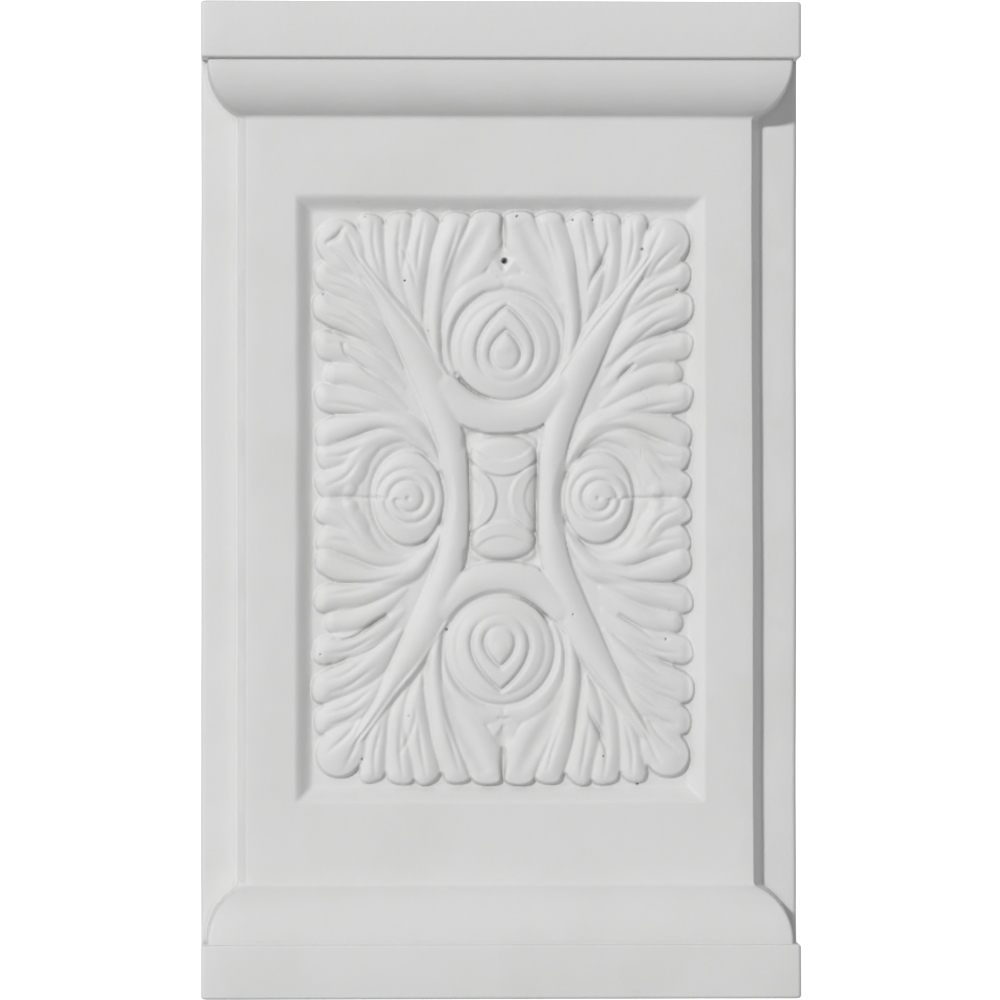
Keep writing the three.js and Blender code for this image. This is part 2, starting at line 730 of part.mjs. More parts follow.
// The carving as one solid: the quarter mirrored to all four, with a flat back of the same facets at
// its root and a wall along the rim of the sheet
function makeCarving() {
  const sheetWidth = DRAWN_HALF_WIDTH + SHEET_BORDER;
  const sheetHeight = DRAWN_HALF_HEIGHT + SHEET_BORDER;
  const columns = Math.round(sheetWidth / SHEET_CELL);
  const rows = Math.round(sheetHeight / SHEET_CELL);
  const toSheet = ([column, row]) => [column / columns * sheetWidth, row / rows * sheetHeight];
  const sheet = new FacetSheet(columns, rows, (column, row) => carvingHeight(...toSheet([column, row])));
  sheet.refine(CORNERS_IN_QUARTER);
  const onRim = (first, second) => (
    (first[0] === columns && second[0] === columns) || (first[1] === rows && second[1] === rows)
  );
  const rootY = panelFloorY + 2 * CARVING_ROOT;
  const points = [];
  for (const [side, end] of [[1, 1], [-1, 1], [1, -1], [-1, -1]]) {
    for (const facet of sheet.facets) {
      const corners = facet.corners.map((cell) => {
        const [a, b] = toSheet(cell);
        const x = CARVING_SHIFT + side * a * carvingScaleX;
        const z = carvingCentreZ + end * b * carvingScaleZ;
        const front = new THREE.Vector3(x, panelFloorY - sheet.heights[cell[0]][cell[1]], z);
        return { cell, front, back: new THREE.Vector3(x, rootY, z) };
      });
      if (side * end < 0) corners.reverse();
      const [first, second, third] = corners;
      points.push(first.front, second.front, third.front, third.back, second.back, first.back);
      for (const [from, to] of [[first, second], [second, third], [third, first]]) {
        if (onRim(from.cell, to.cell)) {
          points.push(to.front, from.front, from.back, to.front, from.back, to.back);
        }
      }
    }
  }
  return toSolid(new THREE.BufferGeometry().setFromPoints(points));
}

const block = makePlate().add(makeBody()).subtract(makePanelCutter()).add(makeCarving());

const castingMaterial = new THREE.MeshStandardMaterial({
  name: 'primed_casting',
  color: 0xeeeeec,
  roughness: 0.6,
  metalness: 0,
});

const casting = new THREE.Mesh(toGeometry(block), castingMaterial);
casting.name = 'plinth_block';

const part = new THREE.Group();
part.add(casting);

export default part;
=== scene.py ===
"""A primed plinth block with a carved acanthus panel, on a pale studio sweep."""
import logging
import math
from dataclasses import dataclass, field
from enum import Enum
from functools import partial

import bmesh
import bpy
import numpy as np
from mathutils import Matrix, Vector
from numpy.typing import NDArray


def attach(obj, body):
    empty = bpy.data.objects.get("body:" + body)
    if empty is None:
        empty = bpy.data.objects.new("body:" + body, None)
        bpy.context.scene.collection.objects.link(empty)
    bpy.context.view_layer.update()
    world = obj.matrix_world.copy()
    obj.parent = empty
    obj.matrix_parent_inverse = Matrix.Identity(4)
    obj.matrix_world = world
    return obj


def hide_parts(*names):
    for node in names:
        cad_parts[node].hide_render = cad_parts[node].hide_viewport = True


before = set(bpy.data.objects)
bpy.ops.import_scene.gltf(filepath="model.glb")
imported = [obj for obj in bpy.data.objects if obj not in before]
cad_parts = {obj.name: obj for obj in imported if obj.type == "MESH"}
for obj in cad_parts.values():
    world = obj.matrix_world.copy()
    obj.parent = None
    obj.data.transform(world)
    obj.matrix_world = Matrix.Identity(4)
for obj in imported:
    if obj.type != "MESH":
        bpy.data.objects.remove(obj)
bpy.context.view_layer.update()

MM = 0.001
LOG = logging.getLogger("plinth_block")

Grid = NDArray[np.float64]
Points = tuple[tuple[float, float], ...]
Values = tuple[float, ...]


def ease(value: Grid) -> Grid:
    """Return a value that eases from 0 to 1 while its argument does."""
    share = np.clip(value, 0.0, 1.0)
    return share * share * (3.0 - 2.0 * share)


def join_heights(first: Grid, second: Grid, fillet: float) -> Grid:
    """Return the larger of two heights, with a fillet where they meet.

    Args:
        first: One height at each point.
        second: The other height at each point.
        fillet: How soft the meeting is, in mm.

    Returns:
        The joined height at each point.
    """
    share = np.clip(0.5 + (first - second) / (2.0 * fillet), 0.0, 1.0)
    return second + (first - second) * share + fillet * share * (1.0 - share)


def spline(before: Grid, start: Grid, end: Grid, after: Grid, share: Grid) -> Grid:
    """Return the value some share of the way from start to end, on a smooth curve."""
    return (
        start + 0.5 * share * (end - before)
        + share ** 2 * (before - 2.5 * start + 2 * end - 0.5 * after)
        + 0.5 * share ** 3 * (after - before + 3 * (start - end))
    )


def value_along(values: Values, share: Grid) -> Grid:
    """Return a value that is given at even distances along a spine."""
    if len(values) == 2:
        return values[0] + (values[1] - values[0]) * share
    place = share * (len(values) - 1)
    index = np.minimum(place.astype(int), len(values) - 2)
    part = place - index
    known = np.concatenate([[2 * values[0] - values[1]], values, [2 * values[-1] - values[-2]]])
    return spline(*(known[index + step] for step in range(4)), part)


def smooth_path(points: Points, steps: int) -> Grid:
    """Return a smooth path through a few points.

    Args:
        points: The points that the path goes through.
        steps: How many even steps the path has.

    Returns:
        The path's points, a row each.
    """
    known = np.asarray(points, dtype=float)
    ends = np.vstack([2 * known[0] - known[1], known, 2 * known[-1] - known[-2]])
    share = np.linspace(0.0, 1.0, 16, endpoint=False)[:, None]
    pieces = [spline(*ends[index:index + 4], share) for index in range(len(ends) - 3)]
    dense = np.vstack([*pieces, known[-1:]])
    run = np.concatenate([[0.0], np.cumsum(np.hypot(*np.diff(dense, axis=0).T))])
    places = np.linspace(0.0, run[-1], steps + 1)
    return np.column_stack([np.interp(places, run, dense[:, axis]) for axis in (0, 1)])


def waviness(first: Grid, second: Grid, wavelength: float, seed: float) -> Grid:
    """Return a slow unevenness between -1 and 1, as a hand-finished cast has.

    Args:
        first: One coordinate of each point, in mm.
        second: The other coordinate, in mm.
        wavelength: The length of the slowest wave, in mm.
        seed: Moves the waves.

    Returns:
        The unevenness at each point.
    """
    turn = 2.0 * math.pi / wavelength
    slow = np.sin(turn * (first + 0.37 * second) + 1.3 + seed)
    middle = np.sin(turn * (1.71 * second - 0.83 * first) + 4.1 + 2.3 * seed)
    quick = np.sin(turn * (2.93 * first + 2.17 * second) + 0.7 + 3.7 * seed)
    return (slow + middle + 0.6 * quick) / 2.6


class Quarter(Enum):
    """The four quarters of the carving, as one looks at it."""

    TOP_LEFT = (-1, 1)
    TOP_RIGHT = (1, 1)
    BOTTOM_LEFT = (-1, -1)
    BOTTOM_RIGHT = (1, -1)


@dataclass
class Sheet:
    """Points of the carving, with the surface that is raised so far.

    The drawing has its origin at the carving's centre. Its first axis runs
    outward to the side, its second outward to the top or bottom.
    """

    a: Grid
    b: Grid
    hand: Grid
    ends: Grid
    height: Grid = field(init=False)
    inside: Grid = field(init=False)
    bare_height: float = -1.0
    far_outside: float = -9.0

    def __post_init__(self) -> None:
        """Start with the bare ground."""
        self.height = np.full_like(self.a, self.bare_height)
        self.inside = np.full_like(self.a, self.far_outside)

    def near(self, path: Grid, reach: float, quarters: tuple[Quarter, ...] = ()) -> Grid:
        """Return which points lie near a path and in the quarters asked for."""
        low = path.min(axis=0) - reach
        high = path.max(axis=0) + reach
        found = (self.a >= low[0]) & (self.a <= high[0])
        found &= (self.b >= low[1]) & (self.b <= high[1])
        if quarters:
            wanted = np.zeros_like(found)
            for quarter in quarters:
                wanted |= (self.hand == quarter.value[0]) & (self.ends == quarter.value[1])
            found &= wanted
        return found


def nearest(path: Grid, a: Grid, b: Grid) -> tuple[Grid, Grid, Grid]:
    """Return how each point lies to a path.

    Args:
        path: The path's points.
        a: The points' first coordinate.
        b: The points' second coordinate.

    Returns:
        The distance, the share of the path's length, and 1 on its left.
    """
    best = np.full_like(a, np.inf)
    share = np.zeros_like(a)
    side = np.zeros_like(a)
    steps = len(path) - 1
    for step in range(steps):
        run_a, run_b = path[step + 1] - path[step]
        off_a = a - path[step][0]
        off_b = b - path[step][1]
        part = np.clip((off_a * run_a + off_b * run_b) / (run_a ** 2 + run_b ** 2), 0.0, 1.0)
        distance = np.hypot(off_a - part * run_a, off_b - part * run_b)
        closer = distance < best
        best = np.where(closer, distance, best)
        share = np.where(closer, (step + part) / steps, share)
        side = np.where(closer, np.sign(run_a * off_b - run_b * off_a), side)
    return best, share, side


@dataclass(frozen=True)
class Ridge:
    """A lobe, band or roll that stands up from the ground."""

    spine: Points
    half: Values
    crest: Values
    drop: float = 0.45
    slope: float = 1.1
    fillet: float = 0.35
    lean: float = 0.0
    outline: float = 0.5
    slant: float = 0.0
    tip_reach: float = 0.85
    tip_round: float = 1.4
    steps: int = 40
    reach: float = 4.0

    def carve(self, sheet: Sheet) -> None:
        """Raise the sheet by this ridge."""
        path = smooth_path(self.spine, self.steps)
        near = sheet.near(path, max(self.half) + self.reach)
        distance, share, side = nearest(path, sheet.a[near], sheet.b[near])
        half = value_along(self.half, share)
        if self.slant:
            tip = self.beyond_tip(path, sheet.a[near], sheet.b[near])
            distance = join_heights(distance, half + tip, self.tip_round)
        across = np.minimum(distance / half, 1.0)
        height = value_along(self.crest, share) - self.drop * across ** 2
        height += self.lean * side * across
        height -= self.slope * np.maximum(0.0, distance - half)
        sheet.height[near] = join_heights(sheet.height[near], height, self.fillet)
        sheet.inside[near] = join_heights(sheet.inside[near], half - distance, self.outline)

    def beyond_tip(self, path: Grid, a: Grid, b: Grid) -> Grid:
        """Return how far each point lies beyond the slanting end of the tip."""
        outward = path[0] - path[2]
        outward = outward / np.hypot(*outward)
        turn = math.radians(self.slant)
        facing_a = outward[0] * math.cos(turn) - outward[1] * math.sin(turn)
        facing_b = outward[0] * math.sin(turn) + outward[1] * math.cos(turn)
        beyond = (a - path[0][0]) * facing_a + (b - path[0][1]) * facing_b
        return beyond - self.tip_reach * self.half[0]


@dataclass(frozen=True)
class Cut:
    """A groove, slit or crease, as wide on its right as on its left unless that is given."""

    spine: Points
    left: Values
    depth: Values
    right: Values = ()
    sharp: float = 1.2
    quarters: tuple[Quarter, ...] = ()
    steps: int = 24
    reach_share: float = 3.5

    def carve(self, sheet: Sheet) -> None:
        """Lower the sheet along this cut."""
        path = smooth_path(self.spine, self.steps)
        right = self.right or self.left
        reach = self.reach_share * max(self.left + right)
        near = sheet.near(path, reach, self.quarters)
        distance, share, side = nearest(path, sheet.a[near], sheet.b[near])
        left = value_along(self.left, share)
        width = np.where(side > 0, left, value_along(right, share))
        depth = value_along(self.depth, share)
        sheet.height[near] -= depth * np.exp(-(distance / width) ** self.sharp)


@dataclass(frozen=True)
class Ring:
    """A groove between two petals of a rosette, drawn out to a tip."""

    radius: float
    tip: float
    depth: float
    width: float
    fade: float = 0.0
    shift: float = 0.0
    swirl: float = 0.0


@dataclass(frozen=True)
class Rosette:
    """A domed, rolled-up flower in a ring-shaped bed."""

    centre: tuple[float, float]
    radii: tuple[float, float]
    crown: float
    rings: tuple[Ring, ...]
    rim: float = 1.0
    bed: float = 0.14
    pit: float = 0.0
    bulb: float = 0.0
    drift: float = 0.0
    moat: float = 0.5
    moat_width: float = 0.55
    fullness: float = 0.6
    tip_turn: float = 0.5
    bulb_width: float = 1.5
    pit_width: float = 0.42
    bank_slope: float = 2.0

    def carve(self, sheet: Sheet) -> None:
        """Sink the bed and raise the flower."""
        centre = np.asarray([self.centre])
        near = sheet.near(centre, 1.6 * max(self.radii))
        hand = sheet.hand[near]
        ends = sheet.ends[near]
        a = (sheet.a[near] - self.centre[0]) * hand - self.drift * ends
        b = sheet.b[near] - self.centre[1]
        angle = np.arctan2(b * ends, -a * hand) / (2.0 * np.pi)
        least = min(self.radii)
        radius = np.hypot(a / self.radii[0], b / self.radii[1])
        past = (radius - 1.0) * least
        height = self.rim + self.crown * np.clip(1.0 - radius ** 2, 0.0, 1.0) ** self.fullness
        for ring in self.rings:
            rise = b - ring.shift
            turn = np.arctan2(np.abs(a), rise)
            drawn = (ring.tip - ring.radius) * np.exp(-(turn / self.tip_turn) ** 1.1)
            away = np.abs(np.hypot(a, rise) - ring.radius - drawn - ring.swirl * angle)
            weaker = 1.0 - ring.fade * ease((turn - 1.57) / 1.2)
            height -= ring.depth * weaker * np.exp(-(away / ring.width) ** 1.4)
        middle = np.hypot(a, b)
        height += self.bulb * np.exp(-(middle / self.bulb_width) ** 2)
        height -= self.pit * np.exp(-(middle / self.pit_width) ** 2)
        stands = sheet.height[near]
        lowered = self.rim + (stands - self.rim) * ease(past / (self.bed * least))
        bank = np.maximum(stands, self.rim - self.bank_slope * past)
        lowered = np.where(stands > self.rim, lowered, bank)
        lowered -= self.moat * np.exp(-(past / self.moat_width - 1.0) ** 2)
        sheet.height[near] = np.where(radius < 1.0, height, lowered)
        sheet.inside[near] = np.maximum(sheet.inside[near], -past)


@dataclass(frozen=True)
class Boss:
    """The pillow in the middle, with its four sunk lens shapes."""

    half_width: float = 6.75
    shoulder: float = 9.4
    end_rise: float = 3.1
    edge: float = 2.3
    foot: float = 0.6
    crown: float = 2.05
    lenses: tuple[tuple[float, float, float], ...] = ((0.0, 12.9, 8.3), (8.2, 0.0, 6.8))
    dishes: tuple[tuple[float, float, float], ...] = ((0.0, 15.0, 7.5), (10.5, 0.0, 6.2))
    waist_depth: float = 0.5
    dish_depth: float = 0.25
    corner: float = 2.0
    widening: float = 0.25
    bow_across: float = 0.014
    bow_up: float = 0.0024
    reach: tuple[float, float] = (11.0, 17.0)

    def carve(self, sheet: Sheet) -> None:
        """Raise the pillow and sink its shapes."""
        near = (sheet.a < self.reach[0]) & (sheet.b < self.reach[1])
        a = sheet.a[near]
        b = sheet.b[near]
        sheet.inside[near] = np.maximum(sheet.inside[near], 1.0)
        arch = np.sqrt(np.clip(1.0 - (a / self.half_width) ** 2, 0.0, 1.0))
        to_end = self.shoulder + self.end_rise * arch - b
        edge = self.widening - join_heights(a - self.half_width, -to_end, self.corner)
        turn = 1.0 - np.clip(edge / self.edge, 0.0, 1.0)
        height = self.foot + self.crown * np.sqrt(1.0 - turn ** 2)
        height -= self.bow_across * a * a + self.bow_up * b * b
        height = np.where(edge > 0.0, height, self.foot + 2.0 * edge)
        lens = self.within(self.lenses, a, b)
        dish = self.within(self.dishes, a, b)
        height -= self.waist_depth * (1.0 - ease(lens / 0.25 + 0.5))
        height -= self.dish_depth * ease(dish / 0.3 + 0.5)
        stands = np.maximum(sheet.height[near], self.foot)
        sheet.height[near] = join_heights(stands, height, 0.1)

    @staticmethod
    def within(circles: tuple[tuple[float, float, float], ...], a: Grid, b: Grid) -> Grid:
        """Return how far each point lies inside the nearest of some circles."""
        depths = [radius - np.hypot(a - x, b - y) for x, y, radius in circles]
        return np.max(depths, axis=0)


RIGHT = (Quarter.TOP_RIGHT, Quarter.BOTTOM_RIGHT)
LEFT = (Quarter.TOP_LEFT, Quarter.BOTTOM_LEFT)

# Low ground that joins the lobes, on the drawing of one quarter
WEBS = (
    Ridge(((31, 48.5), (30.8, 42), (31.0, 34), (30.2, 26), (30.8, 17), (31.6, 9), (32.0, 0)),
          (4.2, 3.6, 3.4, 3.2, 3.0, 3.4, 3.6), (1.0, 1.0), drop=0.1),
    Ridge(((24, 47), (22, 36), (19, 25), (20, 14), (24, 6), (27, 0)), (5, 6, 6, 6, 5, 4),
          (0.95, 0.8, 0.8, 0.95), drop=0.1),
    Ridge(((27.0, 45.5), (26.0, 37.5), (24.4, 28.5), (24.0, 19.5), (26.4, 9)), (3.0, 3.4, 3.4, 3.2, 2.8),
          (1.1, 1.05, 1.0, 0.9, 0.9), drop=0.2, slope=0.3, fillet=0.6),
    Ridge(((27.6, 49.0), (24, 49.0), (19, 48.2), (14, 47.2), (9, 47.0)), (2.6, 3.2, 3.4, 3.4, 3.0),
          (1.1, 1.1), drop=0.2, slope=0.4, fillet=0.6),
    Ridge(((30, 50.0), (25, 51.0), (19, 51.0), (12, 51.4), (5, 52.2)), (3.6, 4.2, 4.4, 4.2, 3.0),
          (1.0, 1.0), drop=0.1),
    Ridge(((24, 46), (20, 42), (17, 36), (13, 31), (12, 27)), (4, 5, 5, 5, 4), (0.9, 0.9), drop=0.1),
    Ridge(((17, 52), (15, 46), (13.4, 40)), (3.0, 3.2, 3.0), (1.2, 1.2), drop=0.1),
    Ridge(((3.0, 53.0), (5.6, 49.0), (8.6, 43.5)), (3.4, 3.0, 2.6), (0.8, 0.8), drop=0.1),
    Ridge(((0.0, 53.4), (0.0, 49.0), (0.0, 44.0)), (1.8, 3.0, 3.0), (1.3, 1.4, 1.3), drop=0.1),
    Ridge(((14.6, 15.0), (13.0, 8.0), (12.8, 0.0)), (2.2, 2.2, 2.2), (0.8, 0.8), drop=0.1),
    Ridge(((-3.0, 41.8), (0.0, 42.0), (4.3, 41.2), (8.0, 38.7), (10.5, 35.0), (11.3, 30.7), (10.5, 26.4)),
          (1.2, 1.2, 1.2), (1.1, 1.1), drop=0.1),
)
# The corner lobe and the lobes that end at the side
SIDE_LEAF = (
    Ridge(((33.4, 52.1), (31.4, 49.4), (29.2, 46.0)), (4.3, 4.2, 2.2), (2.1, 2.2, 1.8), drop=0.9,
          fillet=0.3),
    Ridge(((36.1, 45.4), (33.6, 43.9), (30.4, 42.6), (26.8, 39.6), (22.6, 34.2)),
          (2.6, 3.1, 3.1, 2.6, 0.9), (1.9, 2.1, 2.1, 1.6, 1.0), drop=1.12, fillet=0.3, slant=-32),
    Ridge(((36.1, 31.0), (33.4, 30.4), (30.4, 29.7), (26.4, 27.8), (20.4, 22.8)),
          (2.8, 2.9, 2.7, 2.4, 1.4), (1.7, 1.8, 1.9, 1.6, 1.0), drop=1.05, fillet=0.27, slant=-28),
    Ridge(((33.9, 25.2), (30.2, 25.0), (26.0, 23.0), (20.0, 18.4)), (2.4, 2.4, 2.3, 1.5),
          (1.6, 1.9, 1.6, 1.0), drop=1.05, slope=1.0, fillet=0.15),
    Ridge(((36.2, 20.6), (33.4, 19.8), (30.2, 19.4), (25.6, 18.4), (18.4, 15.7)),
          (2.6, 2.8, 2.5, 2.2, 1.4), (1.9, 2.0, 2.1, 1.6, 1.0), drop=1.05, fillet=0.27, slant=-32),
    Ridge(((36.3, 38.8), (33.6, 37.5), (30.4, 36.1), (26.2, 32.8), (20.6, 26.8)),
          (2.9, 3.3, 3.4, 2.9, 1.1), (2.0, 2.3, 2.4, 1.9, 1.1), drop=1.05, slope=1.5, fillet=0.12,
          slant=-28),
)
# The rolls that curl round a side rosette
SIDE_ROLLS = (
    Ridge(((35.6, 8.4), (33.4, 8.8), (31.0, 9.6), (27.8, 11.2), (24, 12.6)), (2.7, 2.8, 2.4, 1.9, 1.2),
          (1.8, 1.9, 1.9, 1.8, 1.6), drop=0.9, fillet=0.24, slant=-12),
    Ridge(((35.6, 2.6), (33.4, 3.4), (31.2, 4.8), (28.8, 8.2), (25, 11.4)), (2.8, 2.9, 2.7, 2.0, 1.2),
          (1.9, 2.0, 2.0, 1.8, 1.5), drop=0.9, fillet=0.24, slant=-8),
    Ridge(((36.0, 12.7), (33.4, 13.9), (30.2, 15.0), (25.0, 15.9), (18.6, 14.5), (14.6, 9.8)),
          (2.6, 2.9, 2.6, 2.2, 2.0, 1.5), (2.0, 2.1, 2.2, 2.2, 2.0, 1.4), drop=1.05, slope=0.9, slant=20),
    Ridge(((31.4, 2.0), (30.6, 7.4), (26.8, 11.9), (20.6, 13.8), (15.6, 11.0), (13.0, 6.0)),
          (1.9, 2.1, 2.3, 2.1, 1.6, 1.0), (1.8, 1.9, 2.0, 1.9, 1.7, 1.3), drop=0.75, slope=1.0,
          fillet=0.18),
)
# The lobes that end at the top or bottom, and the rolls round an end rosette
END_LEAF = (
    Ridge(((26.7, 55.6), (26.4, 53.4), (26.1, 50.6), (25.0, 45.4), (22, 39.6)), (2.5, 2.6, 2.4, 2.0, 0.9),
          (1.8, 2.0, 2.1, 1.6, 1.0), drop=1.05, fillet=0.27, slant=26),
    Ridge(((20.8, 55.7), (21.0, 53.4), (21.4, 50.2), (21.5, 44.8), (19.4, 38)), (2.8, 2.9, 2.6, 2.2, 1.0),
          (1.8, 2.0, 2.0, 1.6, 1.0), drop=0.9, fillet=0.24, slant=-14),
    Ridge(((15.6, 55.8), (16.1, 53.4), (17.1, 50.2), (18.2, 44.2), (16.8, 36)), (2.6, 2.8, 2.7, 2.1, 0.9),
          (1.9, 2.1, 2.3, 1.9, 1.1), drop=0.9, slope=1.2, fillet=0.12, slant=26),
    Ridge(((9.3, 55.6), (9.9, 53.6), (10.9, 50.8), (12.2, 46.6), (13.4, 41), (14.0, 36), (13.8, 31),
          (13.0, 27.4)), (2.8, 2.9, 2.6, 1.9, 1.7, 1.5, 1.3, 1.0),
          (1.9, 2.1, 2.3, 2.3, 2.2, 2.1, 2.0, 1.6), drop=0.825, slope=1.3, fillet=0.12, slant=-10),
    Ridge(((3.2, 55.3), (3.9, 53.6), (4.9, 51.2), (8.0, 47.2), (11.0, 43.0), (12.6, 38.0)),
          (3.3, 3.6, 4.0, 3.4, 2.6, 1.9), (1.8, 1.9, 2.0, 1.9, 1.8, 1.6), drop=0.525, slope=1.2,
          fillet=0.15, slant=-20),
    Ridge(((1.9, 44.2), (5.0, 43.8), (8.3, 41.2), (10.7, 36.8), (11.5, 31), (10.4, 26.0)),
          (2.1, 2.2, 2.1, 1.6, 1.0, 0.8), (1.6, 1.8, 1.9, 1.9, 1.7, 1.4), drop=0.45, lean=-0.35,
          slope=1.2, fillet=0.12),
)
# The stem, the arch between the stems, and the thin rim along the stem
BANDS = (
    Ridge(((9.7, -3), (9.7, 3), (10.05, 9), (11.3, 14.6), (13.2, 19.8), (15.0, 24.8), (17.7, 30.2),
          (21.2, 35.6), (24.3, 40.6), (27.2, 44.8), (31.2, 50.6)),
          (2.45, 2.5, 2.6, 2.75, 2.9, 3.2, 2.9, 2.1, 1.45, 0.95, 0.35), (2.3, 2.3, 2.3, 2.35, 2.35, 2.2),
          drop=0.9, slope=2.0, fillet=0.3),
    Ridge(((-4, 16.8), (0, 16.4), (4.2, 16.9), (8.0, 18.8), (11.8, 22.4)), (3.3, 3.3, 3.3, 3.2, 2.8),
          (2.25, 2.25), drop=0.8, slope=2.0, fillet=0.35),
    Ridge(((11.4, 25.0), (14.8, 30.0), (18.6, 35.4), (22.8, 40.4), (26.4, 45.4), (30.2, 50.4)),
          (0.2, 0.3, 0.3, 0.25), (1.7, 2.0, 2.15, 2.1), drop=0.1, slope=1.0, fillet=0.15),
)
ROSETTES = (
    Rosette((0.0, 30.7), (10.9, 10.9), 1.9, (
        Ring(9.0, 9.9, 0.2, 0.5, 0.8, -0.5),
        Ring(5.8, 9.4, 0.8, 0.55, 0.8, -1.3),
        Ring(3.1, 5.0, 0.8, 0.6, 0.6, -1.7),
    ), rim=1.1, bed=0.15, bulb=0.3, drift=0.58, moat=0.05),
    Rosette((19.3, 0.0), (7.0, 9.3), 1.5, (
        Ring(5.4, 5.4, 0.5, 0.6, swirl=1.7),
        Ring(3.2, 3.2, 0.6, 0.65, swirl=1.4),
    ), rim=1.1, bed=0.4, pit=0.5, moat=0.35),
)
# Widths and depths of the fold along a lobe
FOLD = ((0.35, 0.5, 0.35), (0.15, 0.42, 0.05))
FOLD_SPINES = (
    ((35.4, 37.0), (31.0, 35.2), (25.0, 30.2)),
    ((35.0, 39.6), (31.0, 38.0), (25.6, 34.0)),
    ((35.4, 43.6), (31.0, 42.2), (26.2, 38.4)),
    ((35.0, 46.0), (31.4, 44.8), (27.4, 41.8)),
    ((35.2, 31.6), (31.0, 31.0), (25.0, 27.6)),
    ((35.4, 19.6), (31.0, 18.9), (25.0, 17.4)),
    ((26.2, 56.2), (26.2, 51.4), (24.6, 45.0)),
    ((20.6, 56.4), (21.2, 51.0), (20.8, 44.4)),
    ((15.8, 56.2), (16.8, 51.0), (17.6, 44.6)),
    ((9.0, 55.2), (10.4, 50.4), (12.4, 44.6)),
    ((35.6, 2.4), (32.0, 4.2), (29.0, 8.0)),
    ((35.6, 8.4), (32.0, 8.8), (28.4, 10.8)),
)
# Valleys, slits, eyes, scratches and folds
CUTS = (
    Cut(((35.9, 34.5), (32.3, 33.2), (29.5, 32.2), (26.3, 30.6), (22.6, 27.8)), (0.3, 0.4, 0.3),
        (0.5, 0.8, 0.7, 0.2), right=(0.5, 0.9, 0.5)),
    Cut(((35.6, 17.2), (31.6, 17.1), (26.4, 16.9), (20.6, 15.4)), (0.3, 0.4, 0.3), (0.4, 0.5, 0.1),
        right=(0.4, 0.7, 0.4)),
    Cut(((34.3, 28.5), (32.3, 28.9), (29.9, 28.1), (27.9, 26.7), (25.9, 25.0), (23.8, 23.8)),
        (0.3, 0.35, 0.3), (0.5, 0.9, 0.9, 0.7), right=(0.35, 0.55, 0.4), quarters=(Quarter.BOTTOM_LEFT,)),
    Cut(((26.5, 27.1), (25.0, 25.8), (23.4, 24.2)), (0.3, 0.5, 0.3), (0.6, 1.1, 0.5),
        quarters=(Quarter.TOP_RIGHT,)),
    Cut(((33.0, 28.8), (30.4, 28.4), (27.4, 26.2), (23.6, 23.8)), (0.25, 0.25, 0.25), (0.4, 0.35, 0.5),
        right=(0.25, 0.3, 0.25), quarters=(Quarter.BOTTOM_RIGHT,)),
    Cut(((32.7, 31.2), (31.9, 29.0), (29.6, 27.4), (26.8, 25.0), (23.8, 23.6)), (0.2, 0.2, 0.2),
        (0.7, 0.35, 0.2), quarters=(Quarter.TOP_LEFT,)),
    Cut(((21.0, 51.4), (19.8, 47.6), (18.0, 44.4), (17.2, 42.0)), (0.3, 0.5, 0.3), (0.3, 1.1, 0.2),
        right=(0.3, 0.6, 0.3), quarters=RIGHT),
    Cut(((21.0, 51.4), (19.4, 48.8), (18.2, 45.4), (17.8, 42.6)), (0.3, 0.5, 0.3), (0.2, 0.4, 0.1),
        quarters=LEFT),
    Cut(((35.6, 52.0), (33.6, 53.2), (32.4, 55.0)), (0.4, 0.6, 0.4), (0.5, 1.0, 0.3),
        quarters=(Quarter.TOP_LEFT,)),
    Cut(((24.6, 0.0), (28.6, 0.0), (34.0, 0.0)), (0.25, 0.3, 0.4), (0.5, 0.4, 0.2)),
    Cut(((35.6, 51.6), (31.6, 48.0), (29.4, 44.6)), (0.4, 0.5, 0.4), (0.1, 0.45, 0.1)),
    Cut(((32.2, 54.6), (30.4, 51.0), (28.8, 47.2)), (0.4, 0.5, 0.4), (0.1, 0.4, 0.1)),
    Cut(((6.8, 56.0), (9.6, 49.4), (12.0, 42.6)), (0.4, 0.5, 0.4), (0.3, 0.3, 0.05)),
    Cut(((0.0, 57.4), (0.2, 54.0), (0.0, 51.0)), (0.3, 0.45, 0.6), (1.0, 1.1, 0.9)),
    Cut(((0.0, 51.2), (0.0, 48.8), (0.0, 46.4)), (0.5, 1.7, 0.5), (0.4, 0.8, 0.4), sharp=2.5),
    Cut(((5.0, 13.1), (6.9, 12.4), (7.4, 10.6)), (0.7, 0.9, 0.7), (0.6, 0.8, 0.6), sharp=2.0),
    Cut(((4.0, 54.6), (6.2, 50.6), (9.2, 45.8), (11.2, 41.4)), (1.3, 1.8, 1.3), (0.3, 0.75, 0.3),
        sharp=2.2),
    Cut(((33.4, 11.3), (29.6, 12.8), (25.0, 13.9), (20.0, 12.9), (16.6, 10.2)), (0.5, 0.9, 0.6),
        (0.2, 0.6, 0.5, 0.2)),
    *(Cut(spine, *FOLD) for spine in FOLD_SPINES),
)


